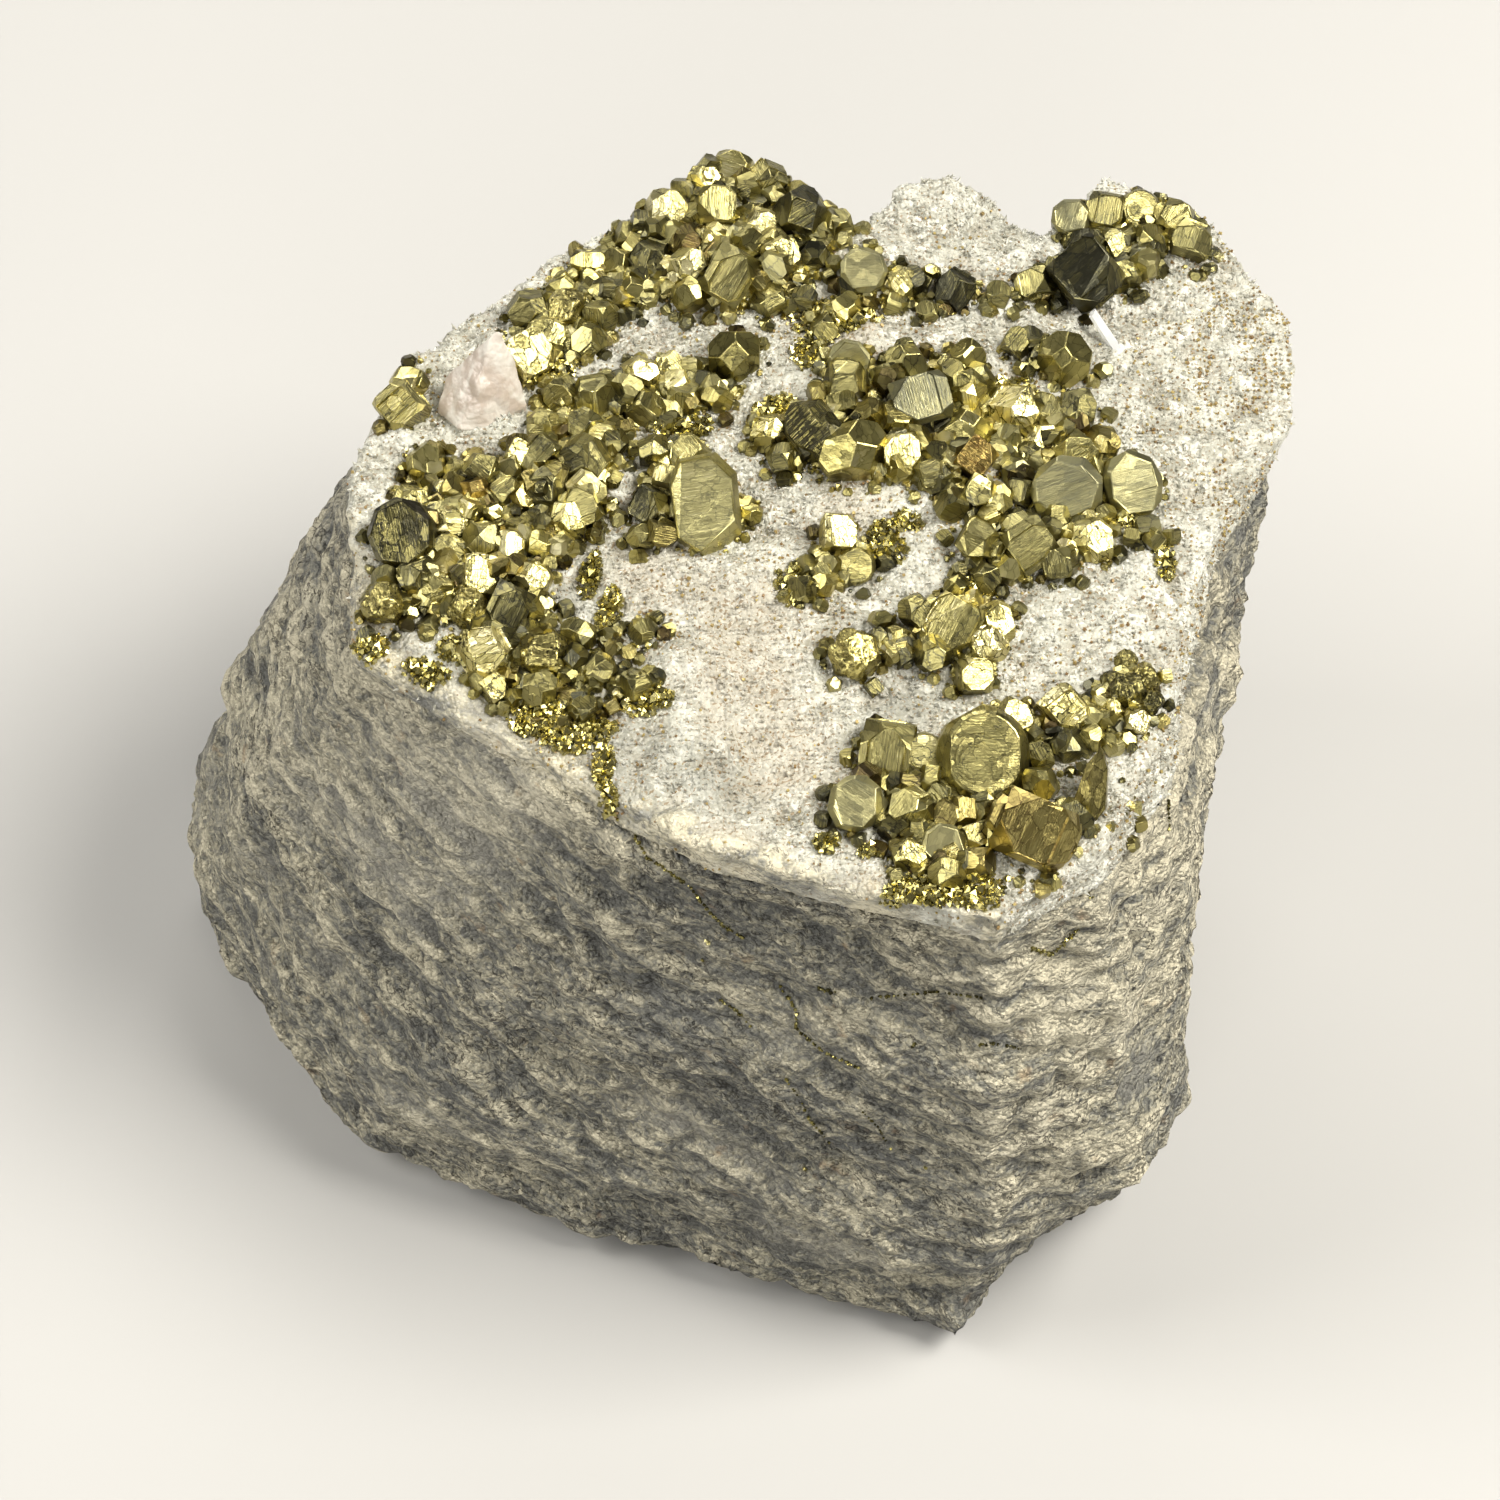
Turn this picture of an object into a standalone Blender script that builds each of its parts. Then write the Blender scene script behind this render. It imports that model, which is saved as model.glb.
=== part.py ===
"""A specimen of pyrite: brassy crystals on a white quartz crust, on a broken block of banded grey gneiss.

The block stands on its flat base. +Z is up, +X runs to the viewer's right, +Y away from the viewer,
and the origin is under the middle of the specimen, on the surface that it stands on. The banding of
the rock is level, so its broken sides are ledges that run round the block. Sizes in the tables are in
millimetres.
"""

import math
import random

import bmesh
import bpy
from mathutils import Euler, Matrix, Vector, noise
from mathutils.bvhtree import BVHTree

MM = 0.001
GAP = 0.3  # between two pieces that touch in the real specimen

# The block: outlines at six heights. Each has the same twenty-two stations, from the left end along
# the front, round the right side and the back.
SECTIONS = {
    0.0: [(-50, 9), (-47, -3), (-41, -13), (-32.5, -23), (-14, -32), (3, -38.2), (17, -43),
          (23.5, -31.5), (33, -25), (35, -8), (32, 10), (30, 21), (24, 28), (20, 31), (15, 32),
          (12, 33.5), (8, 34), (4, 34.5), (-10, 36), (-30, 30), (-38, 26), (-44, 20)],
    7.0: [(-50, 9), (-47, -4), (-41, -14.5), (-31.5, -24.5), (-13, -33), (3.5, -38.7), (18.5, -41.5),
          (25, -35), (34.5, -28), (36, -7), (34, 10), (31, 22), (26, 30), (22, 32), (17, 33),
          (13, 34.5), (9, 35), (5, 35.5), (-10, 37.5), (-30, 31), (-38, 27), (-44, 20.5)],
    15.0: [(-49, 8), (-47, -5), (-40, -16.5), (-29, -26), (-11, -33.5), (4, -39), (19.5, -42.5),
           (32, -36), (36, -27), (37, -6), (36, 11), (34, 23), (28, 31), (23, 34), (18, 34),
           (14, 36), (9, 36), (5, 36.5), (-10, 39), (-29, 32), (-37, 28), (-43, 21)],
    28.0: [(-45, 9), (-43, -7), (-34, -18), (-22, -26), (-7, -32), (6, -37), (19, -41),
           (31, -37), (36, -26), (39, -3), (38, 12), (39, 25), (32, 34), (27, 36.5), (21.5, 35),
           (17, 37.5), (11, 37.5), (7, 36.5), (-8, 41), (-26, 32.5), (-34, 27.5), (-40, 20)],
    42.0: [(-38, 9), (-38, -9), (-29, -17), (-18, -23.5), (-3, -30.5), (8, -35), (20, -38.5),
           (29, -34), (35, -24), (39.5, 0), (41.5, 13), (43, 26), (36, 35.5), (30, 39), (24, 35),
           (19.5, 38.5), (12.5, 38), (8.5, 35), (-5, 42.5), (-21.5, 32), (-29.5, 25.5), (-35, 17)],
    54.0: [(-33, 6), (-32, -12), (-25, -17), (-15, -23), (-3, -31), (8, -35.5), (19, -38),
           (27, -31), (32, -21), (38, 1), (46, 15), (46, 26), (39, 35.5), (31, 40.5), (25.5, 34),
           (21, 38.5), (13, 37), (9.5, 32.5), (-2, 41), (-18, 29.8), (-26, 21.8), (-30.5, 13)],
}
STATION_STEPS = 2  # points from one station to the next
SIDE_STEPS = 3  # rings from one section to the next
ABOVE_ALL = 70.0  # a height over the whole block, from which its top is cut down
WORN_EDGE, FLAT_SHARE = 3.0, 0.94  # the worn lower edge: its height, and the flat's share of the base
LEDGE_DEPTH, LEDGE_HEIGHT, LEDGE_LENGTH = 1.5, 5.0, 22.0

# The top: its height over the middle, its rise towards the back, and swells (x, y, radius, height).
TOP_HEIGHT, TOP_RISE = 54.5, 0.045
SWELLS = [(0, 38, 14, 3.0), (-22, 8, 14, 1.5), (12, 12, 16, 2.5), (17, 36, 6, 3.0), (25.5, 38, 3.5, -4.0),
          (34, 37, 6, 2.0), (10, -22, 16, -1.0), (46, 20, 10, -2.0)]

CRUST_THICKNESS, CRUST_THINNER_LEFT = 2.8, 0.03  # the crust thins towards the left by this much a mm
SHEET_SIDE = 130.0  # the sheets that cut the top of the block and the surface under its crust
TOP_CELLS, UNDER_CRUST_CELLS = 19, 13  # cells along a side of each sheet

# The milky point of quartz at the left, and the clear needle at the right: where the middle of each
# stands, as x, y and the height over the crust.
POINT_FOOT, POINT_TIP, POINT_WIDTH = (-22.4, 12.6, -1.5), (-23.8, 13.4, 7.6), 7.2
NEEDLE_FOOT, NEEDLE_TIP, NEEDLE_WIDTH = (31.8, 19.8, -0.6), (28.8, 23.3, 1.9), 1.0

# The pyrite: groups of crystals grown together. A row is x, y, width and form: C is a cube with its
# corners cut, P a pyritohedron and O an octahedron with its points cut.
PYRITE = {
    "crest": [
        (-7.2, 34.0, 4.4, "C"), (-1.5, 38.6, 3.6, "C"), (1.3, 37.0, 3.8, "P"), (-2.7, 34.0, 4.0, "C"),
        (1.0, 31.8, 3.8, "C"), (4.6, 32.4, 5.4, "O"), (-8.4, 29.0, 4.2, "P"), (-5.4, 27.8, 3.8, "O"),
        (-1.8, 26.2, 5.6, "C"), (-5.0, 24.8, 3.6, "P"), (2.6, 28.2, 3.6, "C"), (-15.4, 23.6, 3.8, "C"),
        (-18.6, 23.6, 3.6, "O"), (-17.0, 20.8, 4.0, "P"),
    ],
    "flank": [
        (-1.2, 17.6, 4.8, "O"), (-12.8, 13.8, 4.6, "P"), (-17.2, 7.6, 3.8, "C"), (-13.6, 6.6, 4.4, "P"),
        (-22.2, 5.9, 4.0, "P"), (-26.6, 7.2, 3.6, "O"), (-17.0, 3.8, 3.6, "O"), (-14.8, 1.0, 3.6, "O"),
        (-21.8, -1.8, 3.6, "O"), (-28.2, -1.6, 6.2, "P"), (-29.6, -7.6, 4.0, "C"),
        (-22.8, -8.2, 3.8, "P"), (-22.0, -5.0, 4.0, "C"), (-19.4, -8.0, 4.4, "C"),
        (-21.3, -12.6, 4.4, "P"), (-16.4, -12.6, 4.6, "C"), (-16.8, -15.8, 3.6, "O"),
        (-13.6, 2.2, 4.2, "C"),
    ],
    "rim": [(-29.0, 12.6, 4.2, "C"), (-28.4, 15.2, 3.4, "P")],
    "striated_crystal": [
        (-3.6, 1.4, 7.0, "P"), (-8.2, 2.6, 3.6, "C"), (-5.0, 7.4, 3.4, "C"), (-8.0, 7.8, 3.4, "P"),
    ],
    "centre": [
        (1.8, 9.6, 3.6, "O"), (7.2, 7.4, 7.4, "O"), (14.2, 12.2, 5.6, "C"), (8.3, 17.4, 3.8, "C"),
        (8.0, 14.4, 4.2, "P"), (13.2, 16.8, 3.6, "O"), (17.8, 9.6, 4.2, "O"), (12.4, 6.8, 3.8, "C"),
        (18.6, 6.2, 4.0, "C"), (22.2, 11.8, 4.8, "O"), (27.2, 12.4, 3.8, "P"), (27.0, 8.0, 4.4, "C"),
        (26.0, 3.6, 5.8, "O"), (31.4, 4.6, 5.6, "O"), (18.6, -1.8, 4.6, "P"), (22.8, -2.2, 5.2, "C"),
        (28.0, -1.2, 3.8, "O"),
    ],
    "back_row": [
        (9.6, 26.6, 4.4, "C"), (12.8, 25.8, 3.2, "P"), (17.2, 25.6, 4.4, "P"), (8.0, 23.4, 2.8, "P"),
    ],
    "wedge": [(26.4, 18.2, 5.0, "O"), (22.6, 19.8, 2.8, "C")],
    "corner": [
        (27.6, 34.6, 3.6, "O"), (30.4, 35.2, 3.8, "C"), (33.4, 35.4, 4.2, "P"), (36.4, 34.4, 3.8, "C"),
        (37.6, 31.8, 4.2, "P"), (34.2, 32.4, 3.2, "C"), (31.2, 31.6, 3.0, "C"), (28.4, 27.8, 6.6, "C"),
        (31.6, 28.6, 3.6, "P"), (24.2, 26.8, 3.2, "C"), (28.8, 31.4, 3.8, "P"),
    ],
    "island": [
        (16.4, -9.8, 5.6, "C"), (13.4, -8.4, 3.2, "P"), (14.6, -12.2, 3.4, "O"), (19.8, -9.4, 3.8, "O"),
        (19.0, -11.8, 3.8, "P"), (17.8, -14.2, 3.4, "C"), (8.4, -12.2, 4.4, "P"),
        (10.6, -11.2, 3.0, "C"),
    ],
    "front": [
        (11.0, -21.6, 5.2, "C"), (13.8, -21.8, 4.4, "P"), (18.4, -22.8, 7.6, "P"),
        (20.8, -18.8, 3.8, "C"), (8.3, -27.2, 4.6, "C"), (12.6, -27.4, 3.8, "O"),
        (15.1, -31.0, 3.8, "C"), (22.3, -30.2, 7.2, "C"), (24.8, -17.8, 4.4, "C"),
        (30.2, -16.2, 4.4, "P"),
    ],
    "pair": [(7.2, -1.4, 3.6, "C"), (8.6, -3.6, 3.6, "P")],
}
BLADE_AT, BLADE_SIZE, BLADE_TURN = (26.4, -27.0), (1.5, 5.6, 6.0), -12.0
LIFT = 0.2  # a crystal's middle over the crust, as a share of its width
EDGE_SHARE = 0.86  # a crystal's width between its cube faces, as a share of the width that is seen
TILT = 38.0  # the most that a crystal leans
PLAIN_BELOW = 4.3  # smaller crystals are plain cubes and octahedra

# The ground that a group of crystals shares: the cells of its grid, how far it goes past a crystal,
# and its height inside and at its edge.
BED_CELL, BED_MARGIN, BED_JITTER = 2.8, -0.1, 0.6
BED_HEIGHTS, BED_EDGE = (0.9, 2.2), 0.8


def swell(x, y):
    """Height of the top of the block at a point."""
    height = TOP_HEIGHT + TOP_RISE * max(-45, min(45, y))
    for cx, cy, radius, rise in SWELLS:
        height += rise * math.exp(-((x - cx) ** 2 + (y - cy) ** 2) / radius**2)
    return height


def along(points, steps):
    """A closed outline with steps points from each of its points to the next."""
    following = points[1:] + points[:1]
    return [(x + (nx - x) * k / steps, y + (ny - y) * k / steps)
            for (x, y), (nx, ny) in zip(points, following) for k in range(steps)]


def between(low, high, share):
    return [(a + (c - a) * share, b + (d - b) * share) for (a, b), (c, d) in zip(low, high)]


def shrunk(outline, share):
    cx = sum(x for x, _ in outline) / len(outline)
    cy = sum(y for _, y in outline) / len(outline)
    return [(cx + (x - cx) * share, cy + (y - cy) * share) for x, y in outline]


def ledged(x, y, z):
    """The point moved in or out from the block's middle, to the broken edge of its band."""
    band = noise.noise(Vector((x / LEDGE_LENGTH, y / LEDGE_LENGTH, z / LEDGE_HEIGHT)))
    break_ = noise.noise(Vector((x / LEDGE_LENGTH, y / LEDGE_LENGTH, z / LEDGE_LENGTH + 7)))
    out = Vector((x, y)).normalized() * LEDGE_DEPTH * (band + break_)
    return Vector((x + out.x, y + out.y, z))


def stone_rings():
    """Rings of points from the base, up the broken sides, to a height over the block."""
    heights = sorted(SECTIONS)
    outlines = {z: along(SECTIONS[z], STATION_STEPS) for z in heights}
    base, rim = outlines[heights[0]], outlines[heights[-1]]
    rings = [[Vector((x, y, 0)) for x, y in shrunk(base, FLAT_SHARE)]]
    rings.append([ledged(x, y, WORN_EDGE) for x, y in base])
    for low, high in zip(heights, heights[1:]):
        for step in range(1, SIDE_STEPS + 1):
            z = low + (high - low) * step / SIDE_STEPS
            ring = between(outlines[low], outlines[high], step / SIDE_STEPS)
            if WORN_EDGE + 1 < z < heights[-1]:
                rings.append([ledged(x, y, z) for x, y in ring])
    rings += [[Vector((x, y, z)) for x, y in rim] for z in (heights[-1], ABOVE_ALL)]
    return rings


def loft(name, rings):
    """A closed mesh through the rings, with a flat face at each end."""
    work = bmesh.new()
    made = [[work.verts.new(point * MM) for point in ring] for ring in rings]
    for low, high in zip(made, made[1:]):
        for i, vertex in enumerate(low):
            j = (i + 1) % len(low)
            work.faces.new((vertex, low[j], high[j], high[i]))
    work.faces.new(made[0])
    work.faces.new(made[-1])
    bmesh.ops.recalc_face_normals(work, faces=work.faces)
    return new_object(name, work)


def new_object(name, work, collection=None):
    """An object of the working mesh, which is then freed."""
    mesh = bpy.data.meshes.new(name)
    work.to_mesh(mesh)
    work.free()
    thing = bpy.data.objects.new(name, mesh)
    (collection or parts).objects.link(thing)
    return thing


def helper(thing):
    """Marks the object as a cutter, which is no piece of the specimen."""
    for collection in list(thing.users_collection):
        collection.objects.unlink(thing)
    cutters.objects.link(thing)
    thing.hide_render = True
    thing.display_type = "WIRE"
    return thing


def paint(thing, name, colour, roughness, metallic=0.0):
    material = bpy.data.materials.get(name) or bpy.data.materials.new(name)
    material.use_nodes = True
    shader = material.node_tree.nodes["Principled BSDF"]
    shader.inputs["Base Color"].default_value = (*colour, 1)
    shader.inputs["Roughness"].default_value = roughness
    shader.inputs["Metallic"].default_value = metallic
    thing.data.materials.clear()
    thing.data.materials.append(material)
    return thing


def boolean(thing, operation, other, joins_itself=False):
    cut = thing.modifiers.new(operation.lower(), "BOOLEAN")
    cut.operation = operation
    cut.object = other
    cut.solver = "EXACT"
    cut.use_self = joins_itself
    return thing


def raised(name, stone, by):
    """A copy of the stone whose surface stands out by this many millimetres."""
    copy = bpy.data.objects.new(name, stone.data)
    cutters.objects.link(copy)
    grow = copy.modifiers.new("grow", "DISPLACE")
    grow.strength = by * MM
    grow.mid_level = 0
    return helper(copy)


def all_above(name, cells, height_at):
    """All that lies above a sheet, whose height is given by a function of x and y."""
    bpy.ops.mesh.primitive_grid_add(x_subdivisions=cells, y_subdivisions=cells, size=SHEET_SIDE * MM)
    slab = bpy.context.object
    slab.name = name
    for vertex in slab.data.vertices:
        vertex.co.z = height_at(vertex.co.x / MM, vertex.co.y / MM) * MM
    thick = slab.modifiers.new("thick", "SOLIDIFY")
    thick.thickness = 40 * MM
    thick.offset = 1
    return helper(slab)


def under_crust(x, y):
    """Height of the surface between the rock and the crust."""
    x, y = max(-34, min(46, x)), max(-38, min(42, y))
    return swell(x, y) - CRUST_THICKNESS - CRUST_THINNER_LEFT * x


# The directions of a crystal's faces. Cube faces come with the cube that each form is cut from.
CORNERS = [Vector((a, b, c)).normalized() for a in (1, -1) for b in (1, -1) for c in (1, -1)]
PENTAGONS = [Vector(v).normalized() for a in (2, -2) for b in (1, -1)
             for v in ((a, b, 0), (0, a, b), (b, 0, a))]
# A form's faces, their distance from its middle as a share of half its cube's side, and the growth
# that makes it as wide as it is seen.
FORMS = {"C": (CORNERS, 1.22, 1.0), "P": (PENTAGONS, 0.87, 1.12), "O": (CORNERS, 0.74, 1.3),
         "cube": ([], 1.0, 0.96), "octahedron": (CORNERS, 0.578, 1.5)}
PLAIN = {"C": "cube", "P": "cube", "O": "octahedron"}


def crystal(width, form):
    """A mesh of one crystal about the origin: a cube cut by the planes of its form."""
    normals, distance, growth = FORMS[form if width > PLAIN_BELOW else PLAIN[form]]
    side = width * EDGE_SHARE * growth * MM
    work = bmesh.new()
    bmesh.ops.create_cube(work, size=side)
    for normal in normals:
        everything = work.verts[:] + work.edges[:] + work.faces[:]
        cut = bmesh.ops.bisect_plane(work, geom=everything, dist=1e-7, plane_co=normal * side / 2 * distance,
                                     plane_no=normal, clear_outer=True)
        rim = [e for e in cut["geom_cut"] if isinstance(e, bmesh.types.BMEdge)]
        if rim:
            bmesh.ops.contextual_create(work, geom=rim)
    return work


def chains(rows):
    """Points along the shortest lines that join all the crystals of a group."""
    inside, outside, points = [rows[0]], rows[1:], []
    while outside:
        near, far = min(((a, b) for a in inside for b in outside),
                        key=lambda pair: math.dist(pair[0][:2], pair[1][:2]))
        steps = math.ceil(math.dist(near[:2], far[:2]) / BED_CELL * 2)
        points += [(near[0] + (far[0] - near[0]) * k / steps, near[1] + (far[1] - near[1]) * k / steps)
                   for k in range(steps + 1)]
        inside.append(far)
        outside.remove(far)
    return points


def bed_cells(rows):
    """Cells of a square grid under the crystals of a group, with no two that meet at a corner only."""
    cells = {(math.floor(x / BED_CELL), math.floor(y / BED_CELL)) for x, y in chains(rows)}
    for x, y, width, _ in rows:
        reach = width / 2 + BED_MARGIN
        span = math.ceil(reach / BED_CELL) + 1
        for i in range(round(x / BED_CELL) - span, round(x / BED_CELL) + span):
            for j in range(round(y / BED_CELL) - span, round(y / BED_CELL) + span):
                if math.dist(((i + 0.5) * BED_CELL, (j + 0.5) * BED_CELL), (x, y)) < reach:
                    cells.add((i, j))
    cells = {cell for cell in cells if on_top(cell)}
    while True:
        extra = set()
        for i, j in cells:
            for side in (1, -1):
                if (i + 1, j + side) in cells and not {(i + 1, j), (i, j + side)} & cells:
                    extra.add((i + 1, j) if on_top((i + 1, j)) else (i, j + side))
        if not extra:
            return cells
        cells |= extra


def on_top(cell):
    """Whether all of a cell lies on the top of the block."""
    for i in (cell[0], cell[0] + 1):
        for j in (cell[1], cell[1] + 1):
            hit = surface_at(i * BED_CELL, j * BED_CELL)
            if hit is None or hit.z < swell(i * BED_CELL, j * BED_CELL) - 1.0:
                return False
    return True


def bed(rows, chance):
    """The ground of a group: small crystals grown into one mass, as facets of uneven height."""
    cells = bed_cells(rows)
    work = bmesh.new()
    made = {}
    for i, j in sorted(cells):
        for corner in ((i, j), (i + 1, j), (i + 1, j + 1), (i, j + 1)):
            if corner not in made:
                around = [(corner[0] - a, corner[1] - b) in cells for a in (0, 1) for b in (0, 1)]
                height = chance.uniform(*BED_HEIGHTS) if all(around) else BED_EDGE
                moved = chance.uniform(-BED_JITTER, BED_JITTER), chance.uniform(-BED_JITTER, BED_JITTER)
                foot = surface_at(corner[0] * BED_CELL, corner[1] * BED_CELL)
                shift = Vector((*moved, 0))
                made[corner] = (work.verts.new((foot + shift + Vector((0, 0, height))) * MM),
                                work.verts.new((foot + shift - Vector((0, 0, 1))) * MM))
    for i, j in sorted(cells):
        ring = [(i, j), (i + 1, j), (i + 1, j + 1), (i, j + 1)]
        work.faces.new([made[corner][0] for corner in ring])
        work.faces.new([made[corner][1] for corner in reversed(ring)])
        for (di, dj), (a, b) in zip(((0, -1), (1, 0), (0, 1), (-1, 0)), zip(ring, ring[1:] + ring[:1])):
            if (i + di, j + dj) not in cells:
                work.faces.new((made[a][1], made[b][1], made[b][0], made[a][0]))
    bmesh.ops.triangulate(work, faces=work.faces)
    bmesh.ops.recalc_face_normals(work, faces=work.faces)
    return work


def surface_at(x, y):
    """The point of the crust straight under (x, y), in millimetres."""
    hit = top_tree.ray_cast(Vector((x, y, 100)) * MM, Vector((0, 0, -1)))[0]
    return hit and hit / MM


def placed(work, at, turn, into):
    """Adds the working mesh to another, turned and moved."""
    work.transform(Matrix.Translation(at * MM) @ turn.to_matrix().to_4x4())
    mesh = bpy.data.meshes.new("crystal")
    work.to_mesh(mesh)
    work.free()
    into.from_mesh(mesh)
    bpy.data.meshes.remove(mesh)


def pyrite_group(name, rows, seed):
    """One solid of crystals grown together, cut below by the crust that they sit on."""
    chance = random.Random(seed)
    work = bed(rows, chance)
    for x, y, width, form in rows:
        lean = [math.radians(chance.uniform(-TILT, TILT)) for _ in range(2)]
        at = surface_at(x, y) + Vector((0, 0, LIFT * width))
        placed(crystal(width, form), at, Euler((*lean, chance.uniform(0, math.tau))), work)
    if name == "front":
        blade = bmesh.new()
        bmesh.ops.create_cone(blade, segments=4, radius1=0.5, radius2=0.2, depth=1, cap_ends=True)
        blade.transform(Matrix.Diagonal((*[side * MM for side in BLADE_SIZE], 1)))
        at = surface_at(*BLADE_AT) + Vector((0, 0, BLADE_SIZE[2] * LIFT))
        placed(blade, at, Euler((0, math.radians(8), math.radians(BLADE_TURN))), work)
    group = new_object("pyrite_" + name, work)
    boolean(group, "DIFFERENCE", seat, joins_itself=True)
    return paint(group, "pyrite", PYRITE_COLOUR, 0.28, 1.0)


def quartz_prism(name, foot, tip, width, end_share):
    """A six-sided crystal that stands in the crust, with a blunt end cut slantwise."""
    low = surface_at(foot[0], foot[1]) + Vector((0, 0, foot[2]))
    high = surface_at(tip[0], tip[1]) + Vector((0, 0, tip[2]))
    work = bmesh.new()
    length = (high - low).length
    bmesh.ops.create_cone(work, segments=6, radius1=width / 2 * MM, radius2=width / 2 * end_share * MM,
                          depth=length * MM, cap_ends=True)
    everything = work.verts[:] + work.edges[:] + work.faces[:]
    cut = bmesh.ops.bisect_plane(work, geom=everything, dist=1e-7,
                                 plane_co=Vector((0, 0, (length / 2 - width * 0.16) * MM)),
                                 plane_no=Vector((0.5, 0.2, 0.84)), clear_outer=True)
    bmesh.ops.contextual_create(work, geom=[e for e in cut["geom_cut"] if isinstance(e, bmesh.types.BMEdge)])
    middle = (low + high) / 2
    turn = (high - low).to_track_quat("Z", "Y").to_euler()
    holder = bmesh.new()
    placed(work, middle, turn, holder)
    return boolean(new_object(name, holder), "DIFFERENCE", seat)


def centre_on_base(collections):
    """Moves everything so that the origin is under the middle of the specimen's box."""
    graph = bpy.context.evaluated_depsgraph_get()
    points = [thing.matrix_world @ v.co for thing in parts.objects
              for v in thing.evaluated_get(graph).data.vertices]
    lows = [min(point[i] for point in points) for i in range(3)]
    highs = [max(point[i] for point in points) for i in range(3)]
    shift = Vector(((lows[0] + highs[0]) / 2, (lows[1] + highs[1]) / 2, lows[2]))
    for collection in collections:
        for thing in collection.objects:
            thing.location = thing.location - shift


ROCK_COLOUR, CRUST_COLOUR = (0.36, 0.355, 0.33), (0.75, 0.71, 0.67)
PYRITE_COLOUR = (0.46, 0.38, 0.18)
POINT_COLOUR, NEEDLE_COLOUR = (0.8, 0.74, 0.71), (0.86, 0.87, 0.86)

for old in list(bpy.data.objects):
    bpy.data.objects.remove(old)
parts = bpy.data.collections.new("pyrite_specimen")
cutters = bpy.data.collections.new("cutters")
for made_collection in (parts, cutters):
    bpy.context.scene.collection.children.link(made_collection)

stone = boolean(loft("whole_stone", stone_rings()), "DIFFERENCE", all_above("over_the_top", TOP_CELLS, swell))
stone.data = bpy.data.meshes.new_from_object(stone.evaluated_get(bpy.context.evaluated_depsgraph_get()))
stone.modifiers.clear()
helper(stone)
top_tree = BVHTree.FromPolygons([v.co for v in stone.data.vertices],
                                [p.vertices for p in stone.data.polygons])
seat = raised("crystal_seat", stone, GAP)

host = bpy.data.objects.new("host_rock", stone.data.copy())
parts.objects.link(host)
boolean(host, "DIFFERENCE", all_above("over_the_rock", UNDER_CRUST_CELLS, under_crust))
paint(host, "gneiss", ROCK_COLOUR, 0.85)

crust = bpy.data.objects.new("quartz_crust", stone.data.copy())
parts.objects.link(crust)
boolean(crust, "INTERSECT",
        all_above("over_the_gap", UNDER_CRUST_CELLS, lambda x, y: under_crust(x, y) + GAP))
paint(crust, "white_quartz", CRUST_COLOUR, 0.6)

for number, (group_name, group_rows) in enumerate(PYRITE.items()):
    pyrite_group(group_name, group_rows, number)

point = quartz_prism("quartz_point", POINT_FOOT, POINT_TIP, POINT_WIDTH, 0.42)
paint(point, "milky_quartz", POINT_COLOUR, 0.35)
needle = quartz_prism("quartz_needle", NEEDLE_FOOT, NEEDLE_TIP, NEEDLE_WIDTH, 0.8)
paint(needle, "clear_quartz", NEEDLE_COLOUR, 0.12)

centre_on_base((parts, cutters))
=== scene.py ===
import math
import random

import bmesh
import bpy
from mathutils import Euler, Matrix, Vector, noise
from mathutils.bvhtree import BVHTree


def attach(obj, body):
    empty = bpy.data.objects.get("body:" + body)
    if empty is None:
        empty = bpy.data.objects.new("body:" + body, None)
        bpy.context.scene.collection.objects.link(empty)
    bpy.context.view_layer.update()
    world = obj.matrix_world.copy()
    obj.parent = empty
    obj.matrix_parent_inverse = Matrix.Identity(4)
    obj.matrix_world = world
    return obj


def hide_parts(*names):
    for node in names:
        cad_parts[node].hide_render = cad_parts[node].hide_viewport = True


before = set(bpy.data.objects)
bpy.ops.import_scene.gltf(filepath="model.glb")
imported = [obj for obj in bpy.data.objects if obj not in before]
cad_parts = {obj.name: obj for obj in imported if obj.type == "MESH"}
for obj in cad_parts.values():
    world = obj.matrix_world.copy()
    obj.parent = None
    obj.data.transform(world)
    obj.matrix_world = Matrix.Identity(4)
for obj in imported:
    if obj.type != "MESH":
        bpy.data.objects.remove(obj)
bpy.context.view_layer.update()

bpy.ops.object.select_all(action="DESELECT")
noise.seed_set(5)  # or noise_vector is another in each run

# The view: the specimen stands on a pale table, seen from in front and well above,
# under soft window-like lights at its right, its left and behind it.
MM = 0.001
VIEW_HEIGHT_ANGLE, VIEW_DISTANCE, VIEW_LENS = 50.0, 0.430, 120.0
AIM = Vector((2.474, 0.249, 28.0)) * MM
FLOOR_COLOUR, SKY_COLOUR = (0.43, 0.425, 0.41), (0.085, 0.085, 0.085)
# name, where it stands in metres, width, height, watts, colour
SOFT_LIGHTS = [
    ("key_light", (0.44, -0.06, 0.64), 0.40, 0.34, 10.0, (1.0, 0.965, 0.90)),
    ("left_light", (-0.56, -0.02, 0.50), 0.40, 0.42, 4.2, (1.0, 0.975, 0.93)),
    ("back_light", (-0.10, 0.62, 0.42), 0.50, 0.20, 2.2, (1.0, 0.97, 0.92)),
    ("front_light", (-0.10, -0.80, 0.34), 0.46, 0.26, 3.4, (1.0, 0.98, 0.95)),
]

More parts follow.
